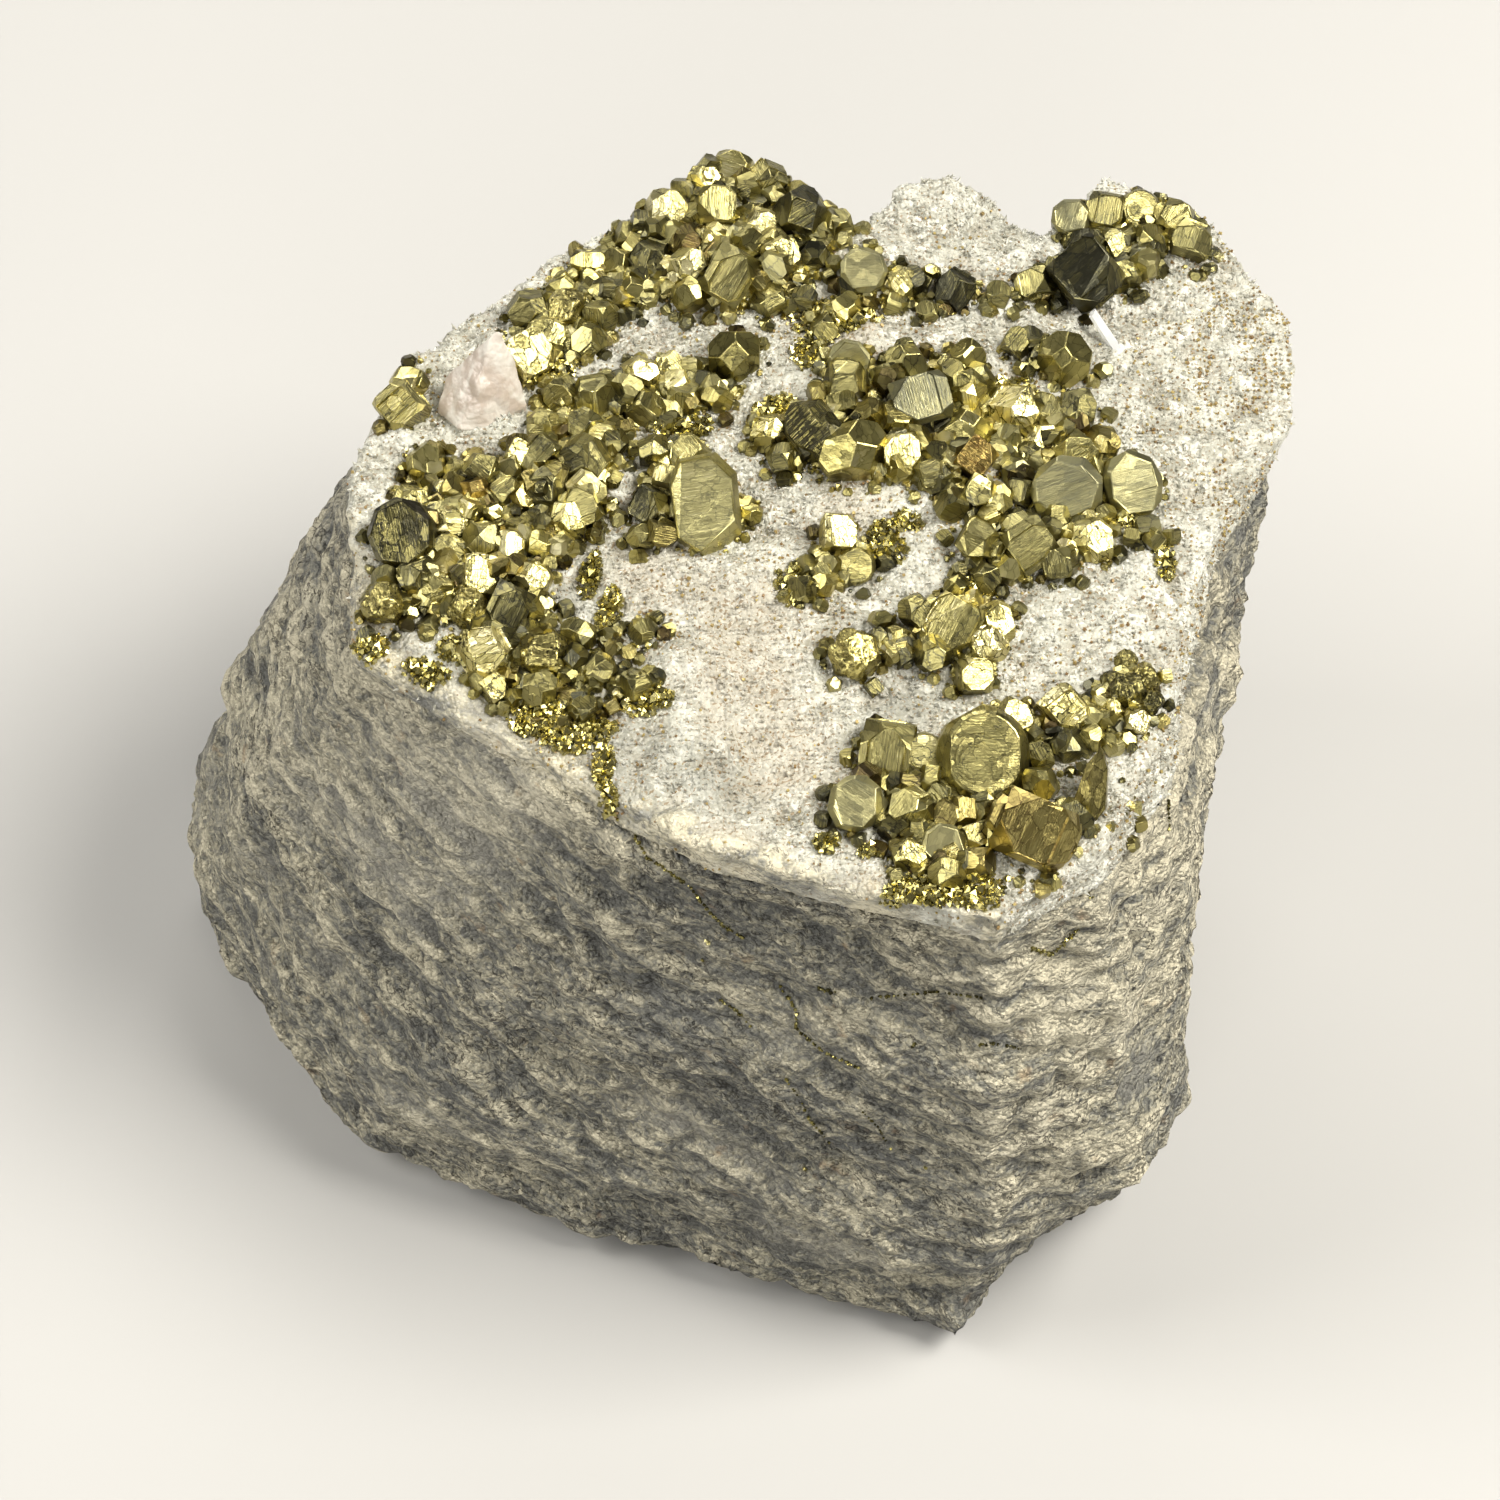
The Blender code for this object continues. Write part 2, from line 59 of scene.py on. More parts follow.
backwards = Vector((0, -math.cos(math.radians(VIEW_HEIGHT_ANGLE)), math.sin(math.radians(VIEW_HEIGHT_ANGLE))))
bpy.ops.object.camera_add(location=AIM + backwards * VIEW_DISTANCE)
camera = bpy.context.object
camera.rotation_euler = (-backwards).to_track_quat("-Z", "Y").to_euler()
camera.data.lens = VIEW_LENS
camera.data.clip_start = 0.01
bpy.context.scene.camera = camera
bpy.context.scene.view_settings.view_transform = "Standard"  # colours as a plain photograph shows them

for light_name, place, light_width, light_height, watts, light_colour in SOFT_LIGHTS:
    bpy.ops.object.light_add(type="AREA", location=place)
    lamp = bpy.context.object
    lamp.name = light_name
    lamp.rotation_euler = (AIM - lamp.location).to_track_quat("-Z", "Y").to_euler()
    lamp.data.shape = "RECTANGLE"
    lamp.data.size, lamp.data.size_y = light_width, light_height
    lamp.data.energy = watts
    lamp.data.color = light_colour

sky = bpy.data.worlds.new("studio")
sky.use_nodes = True
sky.node_tree.nodes["Background"].inputs["Color"].default_value = (*SKY_COLOUR, 1)
bpy.context.scene.world = sky

bpy.ops.mesh.primitive_plane_add(size=6)
floor = bpy.context.object
floor.name = "table_top"
floor_material = bpy.data.materials.new("pale_table")
floor_material.use_nodes = True
floor_shader = floor_material.node_tree.nodes["Principled BSDF"]
floor_shader.inputs["Base Color"].default_value = (*FLOOR_COLOUR, 1)
floor_shader.inputs["Roughness"].default_value = 0.9
floor.data.materials.append(floor_material)


# The block of gneiss: banded grey rock, broken along its level bands into ledges and long pads,
# with deep seams between them, dark partly from painted shade. It is broken from the bedrock with the crust on its top.
ROCK_GRID = 0.60  # size of the cells that the rock's surface is rebuilt with, in mm
ROCK_SWELL = 0.12  # closes the seam to the crust
BAND_DIP = (0.30, -0.12)  # how the bands fall to the right and rise to the back
# how long and how high the pads and hollows are along the bands, in mm, and how deep
PADS, CRAGS, KNOBS, CHIPS = (4.6, 1.5, 0.66), (15.0, 5.0, 1.15), (5.0, 2.0, 0.62), (2.3, 1.0, 0.46)
LEDGE_STEP, LEDGE_DEPTH = 4.2, 0.70
MIDDLE = Vector((2.474, 0.249, 0.0))  # from the point that the readings are about to the box's middle


def copy_of_node(node_name, piece_name):
    """A new object with the CAD node's mesh, its doubled corners merged."""
    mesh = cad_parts[node_name].data.copy()
    mesh.name = piece_name
    mesh.materials.clear()
    work = bmesh.new()
    work.from_mesh(mesh)
    bmesh.ops.remove_doubles(work, verts=work.verts, dist=1e-6)
    work.to_mesh(mesh)
    work.free()
    piece = bpy.data.objects.new(piece_name, mesh)
    bpy.context.scene.collection.objects.link(piece)
    return piece


def rebuilt(piece, cell):
    """The piece with its surface made of even cells of this size, in millimetres."""
    bpy.ops.object.select_all(action="DESELECT")
    bpy.context.view_layer.objects.active = piece
    piece.select_set(True)
    remesh = piece.modifiers.new("even_cells", "REMESH")
    remesh.mode = "VOXEL"
    remesh.voxel_size = cell * MM
    bpy.ops.object.modifier_apply(modifier=remesh.name)
    return piece


def carved(piece, relief, attribute, low=0.0):
    """Moves each point along its normal by relief(point in mm, normal), and keeps how far as an attribute."""
    mesh = piece.data
    heights = []
    moved = []
    for vertex in mesh.vertices:
        point, normal = vertex.co / MM, vertex.normal
        height, shown = relief(point, normal)
        at = point + normal * height
        moved += [at.x * MM, at.y * MM, max(at.z, low) * MM]
        heights.append(shown)
    mesh.vertices.foreach_set("co", moved)
    layer = mesh.attributes.new(attribute, "FLOAT", "POINT")
    layer.data.foreach_set("value", heights)
    mesh.update()
    mesh.shade_smooth()
    return piece


def rock_relief(point, normal):
    """Pads and ledges along the bands, deep seams between them, hollows and chips."""
    q = point + noise.noise_vector(point / 16) * 3.2 + noise.noise_vector(point / 4.5) * 0.7
    q.z += BAND_DIP[0] * q.x + BAND_DIP[1] * q.y
    near = noise.voronoi(Vector((q.x / PADS[0], q.y / PADS[0], q.z / PADS[1])))[0]
    pad = min(near[1] - near[0], 0.5) * 2
    crag, knob, chip = (noise.noise(Vector((q.x / along, q.y / along, q.z / high)))
                        for along, high, _ in (CRAGS, KNOBS, CHIPS))
    step = (q.z + 1.6 * noise.noise(point / 9)) / LEDGE_STEP
    step -= math.floor(step)
    ledge = min(step * 1.25, (1 - step) * 5, 1.0) * (0.6 + noise.noise(point / 13 + Vector((5, 0, 3))))
    side = min(1.0, max(0.0, 1.35 - abs(normal.z) * 1.2))
    hidden = 0.0 if point.z < 0.6 else 1.0
    relief = (PADS[2] * (pad - 0.6) + LEDGE_DEPTH * (ledge - 0.35) * side + CRAGS[2] * crag + KNOBS[2] * knob
              + CHIPS[2] * chip)
    # shown: how high each place stands; the colour uses it as painted shade, darker in the hollows and seams, lighter
    # on the pads
    shown = 0.5 * (pad - 0.6) + 0.45 * chip + 0.3 * knob + 0.2 * (ledge - 0.35)
    return ROCK_SWELL + relief * hidden * (0.35 + 0.65 * side), shown


def group_of(name, inputs, outputs):
    """An empty shader node group with these inputs (name, type, value) and outputs (name, type)."""
    tree = bpy.data.node_groups.new(name, "ShaderNodeTree")
    for socket_name, kind, value in inputs:
        socket = tree.interface.new_socket(socket_name, in_out="INPUT", socket_type="NodeSocket" + kind)
        socket.default_value = value
    for socket_name, kind in outputs:
        tree.interface.new_socket(socket_name, in_out="OUTPUT", socket_type="NodeSocket" + kind)
    return tree, tree.nodes.new("NodeGroupInput"), tree.nodes.new("NodeGroupOutput")


def node(tree, kind, **settings):
    """A new node: settings are its own values, or its sockets' where a key is inN for socket N."""
    made = tree.nodes.new("ShaderNode" + kind)
    for key, value in settings.items():
        if key.startswith("in_"):
            made.inputs[key[3:].replace("_", " ")].default_value = value
        else:
            setattr(made, key, value)
    return made


def join(tree, *pairs):
    """Links each pair of an output and an input."""
    for from_socket, to_socket in pairs:
        tree.links.new(from_socket, to_socket)


def stretched_noise(tree, coordinates, scale, detail=4.0, roughness=0.6, distortion=0.0):
    """Noise whose cells are 1/scale metres long in x, y and z."""
    place = node(tree, "Mapping")
    place.inputs["Scale"].default_value = scale
    pattern = node(tree, "TexNoise", in_Scale=1.0, in_Detail=detail, in_Roughness=roughness,
                   in_Distortion=distortion)
    join(tree, (coordinates, place.inputs["Vector"]), (place.outputs["Vector"], pattern.inputs["Vector"]))
    return pattern.outputs["Fac"]


def blend_of(tree, amount, first, second):
    """A colour from the first to the second as amount goes from 0 to 1; each is a socket or a colour."""
    mix = node(tree, "Mix", data_type="RGBA")
    join(tree, (amount, mix.inputs["Factor"]))
    for socket, colour in ((mix.inputs[6], first), (mix.inputs[7], second)):
        if isinstance(colour, tuple):
            socket.default_value = (*colour, 1)
        else:
            join(tree, (colour, socket))
    return mix.outputs[2]


def ranged(tree, value, low, high, to_low=0.0, to_high=1.0):
    """The value's range from low to high spread over another range, and held there."""
    spread = node(tree, "MapRange", in_From_Min=low, in_From_Max=high, in_To_Min=to_low, in_To_Max=to_high)
    join(tree, (value, spread.inputs["Value"]))
    return spread.outputs["Result"]


def sum_of(tree, operation, first, second):
    """A Math node; each of its values is a socket or a number."""
    made = node(tree, "Math", operation=operation)
    for socket, value in zip(made.inputs, (first, second)):
        if isinstance(value, (int, float)):
            socket.default_value = value
        else:
            join(tree, (value, socket))
    return made.outputs[0]


def grains_of(tree, coordinates, scale, randomness=1.0):
    """Rounded grains, their height and a tone of each one's own."""
    place = node(tree, "Mapping")
    place.inputs["Scale"].default_value = scale
    cells = node(tree, "TexVoronoi", in_Scale=1.0, in_Randomness=randomness)
    join(tree, (coordinates, place.inputs["Vector"]), (place.outputs["Vector"], cells.inputs["Vector"]))
    split = node(tree, "SeparateColor")
    join(tree, (cells.outputs["Color"], split.inputs["Color"]))
    height = node(tree, "Math", operation="SUBTRACT")
    height.inputs[0].default_value = 1.0
    join(tree, (cells.outputs["Distance"], height.inputs[1]))
    return height.outputs[0], split.outputs["Red"]


# Broken grain, for the rock and the quartz: rounded grains of two sizes over each other, as a height,
# and a tone for each grain.
grain_tree, grain_in, grain_out = group_of(
    "broken_grain", [("Fine", "Float", 1.0), ("Coarse", "Float", 1.0)], [("Height", "Float"), ("Tone", "Float")])
grain_place = node(grain_tree, "TexCoord").outputs["Object"]
warp = node(grain_tree, "TexNoise", in_Scale=900.0, in_Detail=2.0)
warped = node(grain_tree, "MixRGB", blend_type="LINEAR_LIGHT")
warped.inputs["Fac"].default_value = 0.00016
join(grain_tree, (grain_place, warp.inputs["Vector"]), (grain_place, warped.inputs["Color1"]),
     (warp.outputs["Color"], warped.inputs["Color2"]))
fine_height, fine_tone = grains_of(grain_tree, warped.outputs["Color"], (2700, 2700, 3300))
coarse_height, coarse_tone = grains_of(grain_tree, warped.outputs["Color"], (950, 950, 1500))
join(grain_tree,
     (sum_of(grain_tree, "ADD", sum_of(grain_tree, "MULTIPLY", fine_height, grain_in.outputs["Fine"]),
             sum_of(grain_tree, "MULTIPLY", coarse_height, grain_in.outputs["Coarse"])),
      grain_out.inputs["Height"]),
     (sum_of(grain_tree, "MULTIPLY", sum_of(grain_tree, "ADD", fine_tone, coarse_tone), 0.5),
      grain_out.inputs["Tone"]))

# The gneiss itself, for the block and for where it shows through the crust: its colour and its roughness
# in height. Lens-shaped streaks of cream and grey along the bands, dark seams, flecks and rust.
gneiss_tree, gneiss_in, gneiss_out = group_of(
    "gneiss_bands", [("Relief_Shade", "Float", 0.0), ("Lightness", "Float", 0.0)], [("Color", "Color"), ("Height", "Float")])
gneiss_place = node(gneiss_tree, "Mapping")
gneiss_place.inputs["Rotation"].default_value = (BAND_DIP[1], -BAND_DIP[0], 0)
join(gneiss_tree, (node(gneiss_tree, "TexCoord").outputs["Object"], gneiss_place.inputs["Vector"]))
gneiss_level = gneiss_place.outputs["Vector"]
wide_bands = stretched_noise(gneiss_tree, gneiss_level, (60, 60, 360), 4.0, 0.6, 0.5)
lenses = stretched_noise(gneiss_tree, gneiss_level, (150, 150, 820), 5.0, 0.66, 0.5)
flecks = stretched_noise(gneiss_tree, gneiss_level, (620, 620, 2400), 3.0, 0.7, 0.2)
patches = stretched_noise(gneiss_tree, gneiss_level, (45, 45, 90), 2.0, 0.5)
rust = stretched_noise(gneiss_tree, gneiss_level, (240, 240, 420), 3.0, 0.7)
mixed = sum_of(gneiss_tree, "ADD", sum_of(gneiss_tree, "MULTIPLY", wide_bands, 0.28),
               sum_of(gneiss_tree, "ADD", sum_of(gneiss_tree, "MULTIPLY", lenses, 0.46),
                      sum_of(gneiss_tree, "MULTIPLY", flecks, 0.26)))
# painted shade and light: the stone is darker where its surface lies low and lighter where it stands high
mixed = sum_of(gneiss_tree, "ADD", mixed, sum_of(gneiss_tree, "MULTIPLY", gneiss_in.outputs["Relief_Shade"], 0.15))
mixed = sum_of(gneiss_tree, "ADD", mixed, gneiss_in.outputs["Lightness"])
stone = blend_of(gneiss_tree, ranged(gneiss_tree, mixed, 0.40, 0.465), (0.120, 0.120, 0.107), (0.235, 0.228, 0.184))
stone = blend_of(gneiss_tree, ranged(gneiss_tree, mixed, 0.465, 0.525), stone, (0.350, 0.325, 0.238))
stone = blend_of(gneiss_tree, ranged(gneiss_tree, mixed, 0.525, 0.60), stone, (0.610, 0.560, 0.410))
stone = blend_of(gneiss_tree, ranged(gneiss_tree, patches, 0.56, 0.74, 0.0, 0.45), stone, (0.520, 0.490, 0.400))
stone = blend_of(gneiss_tree, ranged(gneiss_tree, patches, 0.44, 0.28, 0.0, 0.30), stone, (0.150, 0.158, 0.160))
stone = blend_of(gneiss_tree, ranged(gneiss_tree, rust, 0.64, 0.74, 0.0, 0.5), stone, (0.330, 0.215, 0.105))
# thin dark cracks that follow the bands, and come and go along them
splits = stretched_noise(gneiss_tree, gneiss_level, (330, 330, 900), 4.0, 0.62, 0.4)
split_near = sum_of(gneiss_tree, "ABSOLUTE", sum_of(gneiss_tree, "SUBTRACT", splits, 0.5), 0.0)
split = sum_of(gneiss_tree, "MULTIPLY", ranged(gneiss_tree, split_near, 0.003, 0.016, 1.0, 0.0),
               ranged(gneiss_tree, patches, 0.66, 0.45))
stone = blend_of(gneiss_tree, sum_of(gneiss_tree, "MULTIPLY", split, 0.8), stone, (0.045, 0.038, 0.028))
join(gneiss_tree, (stone, gneiss_out.inputs["Color"]),
     (sum_of(gneiss_tree, "SUBTRACT", sum_of(gneiss_tree, "ADD", lenses, sum_of(gneiss_tree, "MULTIPLY", flecks, 0.8)),
             sum_of(gneiss_tree, "MULTIPLY", split, 0.35)), gneiss_out.inputs["Height"]))


def placed_group(tree, group, **values):
    """A group's node in a material, with its inputs' own values."""
    made = tree.nodes.new("ShaderNodeGroup")
    made.node_tree = group
    for name, value in values.items():
        made.inputs[name].default_value = value
    return made


def broken_rock():
    """Gneiss: its bands, and the sparkle and dust of its broken grains."""
    material = bpy.data.materials.new("banded_gneiss")
    material.use_nodes = True
    tree = material.node_tree
    shader = tree.nodes["Principled BSDF"]
    bands = placed_group(tree, gneiss_tree)
    grain = placed_group(tree, grain_tree, Fine=0.60, Coarse=0.85)
    pale = node(tree, "Attribute", attribute_name="pale").outputs["Fac"]
    tone = sum_of(tree, "SUBTRACT", grain.outputs["Tone"], 0.5)
    lightness = sum_of(tree, "ADD", sum_of(tree, "MULTIPLY", tone, 0.18), sum_of(tree, "MULTIPLY", pale, 0.085))
    bump = node(tree, "Bump", in_Strength=1.0, in_Distance=0.0008)
    join(tree, (node(tree, "Attribute", attribute_name="rock_relief").outputs["Fac"], bands.inputs["Relief_Shade"]),
         (lightness, bands.inputs["Lightness"]), (bands.outputs["Color"], shader.inputs["Base Color"]),
         (sum_of(tree, "ADD", bands.outputs["Height"], grain.outputs["Height"]), bump.inputs["Height"]),
         (bump.outputs["Normal"], shader.inputs["Normal"]),
         (ranged(tree, grain.outputs["Tone"], 0.3, 0.8, 0.85, 0.45), shader.inputs["Roughness"]))
    return material


# x, y, z and spread of where the rock is paler (more than nothing) or greyer (less)
PALE_SPOTS = [(27, -33, 40, 15, 1.0), (33, -20, 46, 12, 0.7), (25, -36, 22, 10, 0.5), (42, 5, 40, 14, 0.1), (-30, -14, 50, 6, 0.6),
              (-16, -26, 50, 7, 0.5), (-38, -2, 30, 12, 0.7), (-5, -34, 46, 6, -0.4), (10, -40, 30, 10, -0.35),
              (-20, -30, 30, 10, -0.2), (-5, -42, 12, 12, -0.2),
              (-27, -19, 54, 5, 0.9), (-18, -23, 53, 5, 0.8), (-9, -28, 52, 4, 0.5),
              (-36, -1, 50, 7, 1.0)]


def rock_zones(piece):
    """Keeps on each point of the rock how pale it is there."""
    mesh = piece.data
    pale = []
    for vertex in mesh.vertices:
        at = vertex.co / MM - MIDDLE
        here = sum(much * math.exp(-((at.x - x) ** 2 + (at.y - y) ** 2 + (at.z - z) ** 2) / spread ** 2)
                   for x, y, z, spread, much in PALE_SPOTS)
        pale.append(here * (1.0 + 0.8 * noise.noise(at / 5.0)))
    mesh.attributes.new("pale", "FLOAT", "POINT")
    mesh.attributes["pale"].data.foreach_set("value", pale)


rock = carved(rebuilt(copy_of_node("host_rock", "gneiss_block"), ROCK_GRID), rock_relief, "rock_relief")
rock_zones(rock)
rock.data.materials.append(broken_rock())
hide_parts("host_rock")
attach(rock, "root")


# The crust: fine white quartz crystals grown over the whole top of the rock as one rough sheet.
# At the front left it thins out, and the grey rock shows through; brown pyrite grit freckles it.
CRUST_GRID = 0.50
CRUST_SWELL = 0.10
HUMMOCK_DEPTH, LUMP_DEPTH, SUGAR_DEPTH = 0.75, 0.62, 0.30
RAGGED_EDGE = 1.0  # how far the crust's broken edge wanders in
# where the white ends at the front left, and how softly
WHITE_EDGE = [(-46.0, 12.0), (-33.5, 2.0), (-30.0, -7.0), (-24.0, -14.5), (-18.5, -18.5), (-13.0, -22.0),
              (-7.6, -27.0), (-1.8, -29.6), (6.2, -33.0), (10.8, -36.0), (19.2, -37.4), (40.0, -50.0)]
WHITE_EDGE_SOFTNESS = 2.0
# greyer, clear quartz (x, y, how far it spreads), and warm pinkish beige
GREY_SPOTS = [(-8.5, -20.5, 3.6), (-15.0, -6.3, 2.4), (-19.0, 0.5, 2.0), (-2.5, -25.0, 4.0), (12.5, -16.0, 3.5),
              (-22.0, -16.5, 3.0), (24.0, -24.0, 3.0), (-11.0, -25.0, 3.0)]
RAISED_SPOTS = [(-27.5, 17.4, 1.7, 2.2), (-25.0, 18.0, 1.3, 1.2), (-21.2, 20.0, 1.5, 2.4), (-28.6, 9.4, 1.4, 1.0),
                (0.0, -4.0, 2.6, 0.9), (12.0, 29.0, 3.0, 1.0), (-3.0, -13.0, 3.0, 0.8)]  # lumps: x, y, spread, height
WARM_SPOTS = [(0.5, -30.8, 1.8), (-2.5, -29.4, 1.6), (9.0, -34.4, 2.4), (0.5, -8.0, 5.0), (8.0, 2.0, 3.5), (-1.0, -16.0, 5.0), (9.0, 20.0, 3.0), (3.0, -22.0, 5.0),
              (-8.0, -4.0, 4.0)]


def past_white_edge(x, y):
    """How far a place lies outside the white, in mm; less than nothing inside."""
    nearest, side = 1e9, 0.0
    for (ax, ay), (bx, by) in zip(WHITE_EDGE, WHITE_EDGE[1:]):
        length2 = (bx - ax) ** 2 + (by - ay) ** 2
        share = max(0.0, min(1.0, ((x - ax) * (bx - ax) + (y - ay) * (by - ay)) / length2))
        away = math.hypot(x - ax - share * (bx - ax), y - ay - share * (by - ay))
        if away < nearest:
            nearest = away
            side = (bx - ax) * (y - ay) - (by - ay) * (x - ax)
    return nearest if side < 0 else -nearest


def near_spots(spots, x, y):
    """From 0 to 1, how much a place belongs to the soft round spots."""
    return min(1.0, sum(math.exp(-((x - a) ** 2 + (y - b) ** 2) / r ** 2) for a, b, r in spots))


def crust_relief(point, normal):
    """Hummocks, lumps and sugary grains on the top, and a ragged broken edge."""
    hummock = noise.noise(point / 6.5)
    lump = noise.noise(point / 2.1 + Vector((9, 0, 0)))
    near = noise.voronoi(point / 1.05)[0]
    sugar = 0.55 - near[0]
    top = max(0.0, min(1.0, normal.z * 2))
    edge = 1.0 - min(1.0, abs(normal.z) * 1.6)
    ragged = abs(noise.noise(Vector((point.x / 4, point.y / 4, point.z / 1.5)))) + 0.25 * noise.noise(point / 1.4)
    relief = (HUMMOCK_DEPTH * hummock + LUMP_DEPTH * lump + SUGAR_DEPTH * sugar) * top - RAGGED_EDGE * ragged * edge
    raised = sum(height * math.exp(-((point.x - MIDDLE.x - x) ** 2 + (point.y - MIDDLE.y - y) ** 2) / spread ** 2)
                 for x, y, spread, height in RAISED_SPOTS)
    # the second value: how high the place stands, which the sheet's colour uses for painted shade in its hollows
    return CRUST_SWELL + relief + raised * top, 0.8 * lump + 0.9 * sugar + 0.4 * hummock


def crust_zones(piece):
    """Keeps on each point of the crust how bare, how grey and how warm it is."""
    mesh = piece.data
    zones = {"bare": [], "grey": [], "warm": []}
    for vertex in mesh.vertices:
        at = vertex.co / MM - MIDDLE
        wander = 2.6 * noise.noise(at / 4.0) + 1.2 * noise.noise(at / 1.3)
        bare = (past_white_edge(at.x, at.y) + wander) / WHITE_EDGE_SOFTNESS
        zones["bare"].append(max(0.0, min(1.0, bare + 0.4)))
        blur = 0.5 * noise.noise(at / 2.5)
        zones["grey"].append(max(0.0, near_spots(GREY_SPOTS, at.x, at.y) + blur * 0.6 - 0.1))
        zones["warm"].append(max(0.0, near_spots(WARM_SPOTS, at.x, at.y) + blur * 0.8))
    for name, values in zones.items():
        mesh.attributes.new(name, "FLOAT", "POINT")
        mesh.attributes[name].data.foreach_set("value", values)


def white_quartz(name, grown_points):
    """White quartz, here pinkish beige and there grey and clear, with fine brown grit in drifts."""
    material = bpy.data.materials.new(name)
    material.use_nodes = True
    tree = material.node_tree
    shader = tree.nodes["Principled BSDF"]
    coordinates = node(tree, "TexCoord").outputs["Object"]
    relief, bare, grey, warm = (node(tree, "Attribute", attribute_name=attribute).outputs["Fac"]
                                for attribute in ("crust_relief", "bare", "grey", "warm"))
    clouds = stretched_noise(tree, coordinates, (260, 260, 260), 5.0, 0.66)
    specks = stretched_noise(tree, coordinates, (3400, 3400, 3400), 1.0, 0.5)
    grain = placed_group(tree, grain_tree, Fine=0.6, Coarse=0.9)
    colour = blend_of(tree, ranged(tree, clouds, 0.40, 0.62), (0.560, 0.555, 0.475), (0.335, 0.325, 0.260))
    colour = blend_of(tree, ranged(tree, grain.outputs["Tone"], 0.58, 0.80), colour, (0.700, 0.690, 0.600))
    colour = blend_of(tree, ranged(tree, grain.outputs["Tone"], 0.42, 0.20, 0.0, 0.40), colour, (0.350, 0.330, 0.262))
    colour = blend_of(tree, ranged(tree, warm, 0.15, 1.0, 0.0, 0.65), colour, (0.460, 0.418, 0.330))
    colour = blend_of(tree, ranged(tree, grey, 0.15, 0.9, 0.0, 0.75), colour, (0.300, 0.295, 0.245))
    if not grown_points:
        # painted shade: the sheet is darker brown where it lies low, in its hollows
        colour = blend_of(tree, ranged(tree, relief, -0.10, -0.60, 0.0, 0.4), colour, (0.330, 0.275, 0.190))
        in_drifts = ranged(tree, sum_of(tree, "ADD", clouds, sum_of(tree, "MULTIPLY", warm, 0.12)), 0.42, 0.66, 0.33, 0.41)
        brown = sum_of(tree, "LESS_THAN", specks, in_drifts)
        colour = blend_of(tree, sum_of(tree, "MULTIPLY", brown, 0.75), colour, (0.220, 0.150, 0.070))
        stone = placed_group(tree, gneiss_tree)
        lightness = sum_of(tree, "ADD", sum_of(tree, "MULTIPLY", grain.outputs["Tone"], 0.16), -0.03)
        # the crust's height goes to the stone as painted shade where the rock shows through
        join(tree, (relief, stone.inputs["Relief_Shade"]), (lightness, stone.inputs["Lightness"]))
        colour = blend_of(tree, bare, colour, stone.outputs["Color"])
    else:
        tone = node(tree, "Attribute", attribute_name="tone").outputs["Fac"]
        colour = blend_of(tree, ranged(tree, tone, 0.75, 1.0, 0.0, 0.35), colour, (0.420, 0.390, 0.320))
    join(tree, (colour, shader.inputs["Base Color"]))
    bump = node(tree, "Bump", in_Strength=0.9, in_Distance=0.00045)
    join(tree, (grain.outputs["Height"], bump.inputs["Height"]), (bump.outputs["Normal"], shader.inputs["Normal"]),
         (ranged(tree, grain.outputs["Tone"], 0.25, 0.75, 0.30, 0.62), shader.inputs["Roughness"]))
    shader.inputs["IOR"].default_value = 1.54
    shader.inputs["Subsurface Weight"].default_value = 0.35  # light goes a little way into the quartz
    shader.inputs["Subsurface Scale"].default_value = 0.6 * MM
    shader.inputs["Subsurface Radius"].default_value = (1.0, 0.95, 0.85)
    return material


crust = carved(rebuilt(copy_of_node("quartz_crust", "quartz_sheet"), CRUST_GRID), crust_relief, "crust_relief")
crust_zones(crust)
crust.data.materials.append(white_quartz("white_quartz_sheet", False))
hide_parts("quartz_crust")
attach(crust, "root")


# The pyrite: brassy crystals of iron sulphide that grew on and into the crust, cubes and pyritohedra
# with octahedral corners, their flat faces finely lined by growth steps. Each kind is modelled once.
EDGE_SHARE = 0.86  # a crystal's width between its cube faces, as a share of the width that is seen
SIT = 0.2  # a crystal's middle over the crust, as a share of its width
LEAN = 38.0  # the most that a crystal leans, in degrees
CORNERS = [Vector((a, b, c)).normalized() for a in (1, -1) for b in (1, -1) for c in (1, -1)]
PENTAGONS = [Vector(v).normalized() for a in (2, -2) for b in (1, -1)
             for v in ((a, b, 0), (0, a, b), (b, 0, a))]
CUBE_FACES = [Vector(v) for v in ((1, 0, 0), (-1, 0, 0), (0, 1, 0), (0, -1, 0), (0, 0, 1), (0, 0, -1))]
# kind: (planes that cut it, how far out they are) twice, the cube it is cut from, its growth steps
CRYSTAL_KINDS = {
    "cube": (CORNERS, 1.22, PENTAGONS, 1.12, 1.0, 0),
    "pentagon": (PENTAGONS, 0.88, CORNERS, 0.98, 1.12, 0),
    "corner": (CORNERS, 0.78, PENTAGONS, 1.04, 1.26, 0),
    "lined_cube": (CORNERS, 1.24, PENTAGONS, 1.10, 1.02, 8),
    "lined_pentagon": (PENTAGONS, 0.88, CORNERS, 1.02, 1.12, 6),
    "lined_corner": (CORNERS, 0.92, PENTAGONS, 1.06, 1.12, 7),
    "small_cube": (CORNERS, 1.22, PENTAGONS, 1.12, 1.0, 0),
    "small_pentagon": (PENTAGONS, 0.88, CORNERS, 0.98, 1.12, 0),
    "small_corner": (CORNERS, 0.78, PENTAGONS, 1.04, 1.26, 0),
    "grain_cube": (CORNERS, 1.16, (), 0, 1.0, 0),
    "grain_corner": (CORNERS, 0.82, (), 0, 1.26, 0),
}
VARIANTS = 6
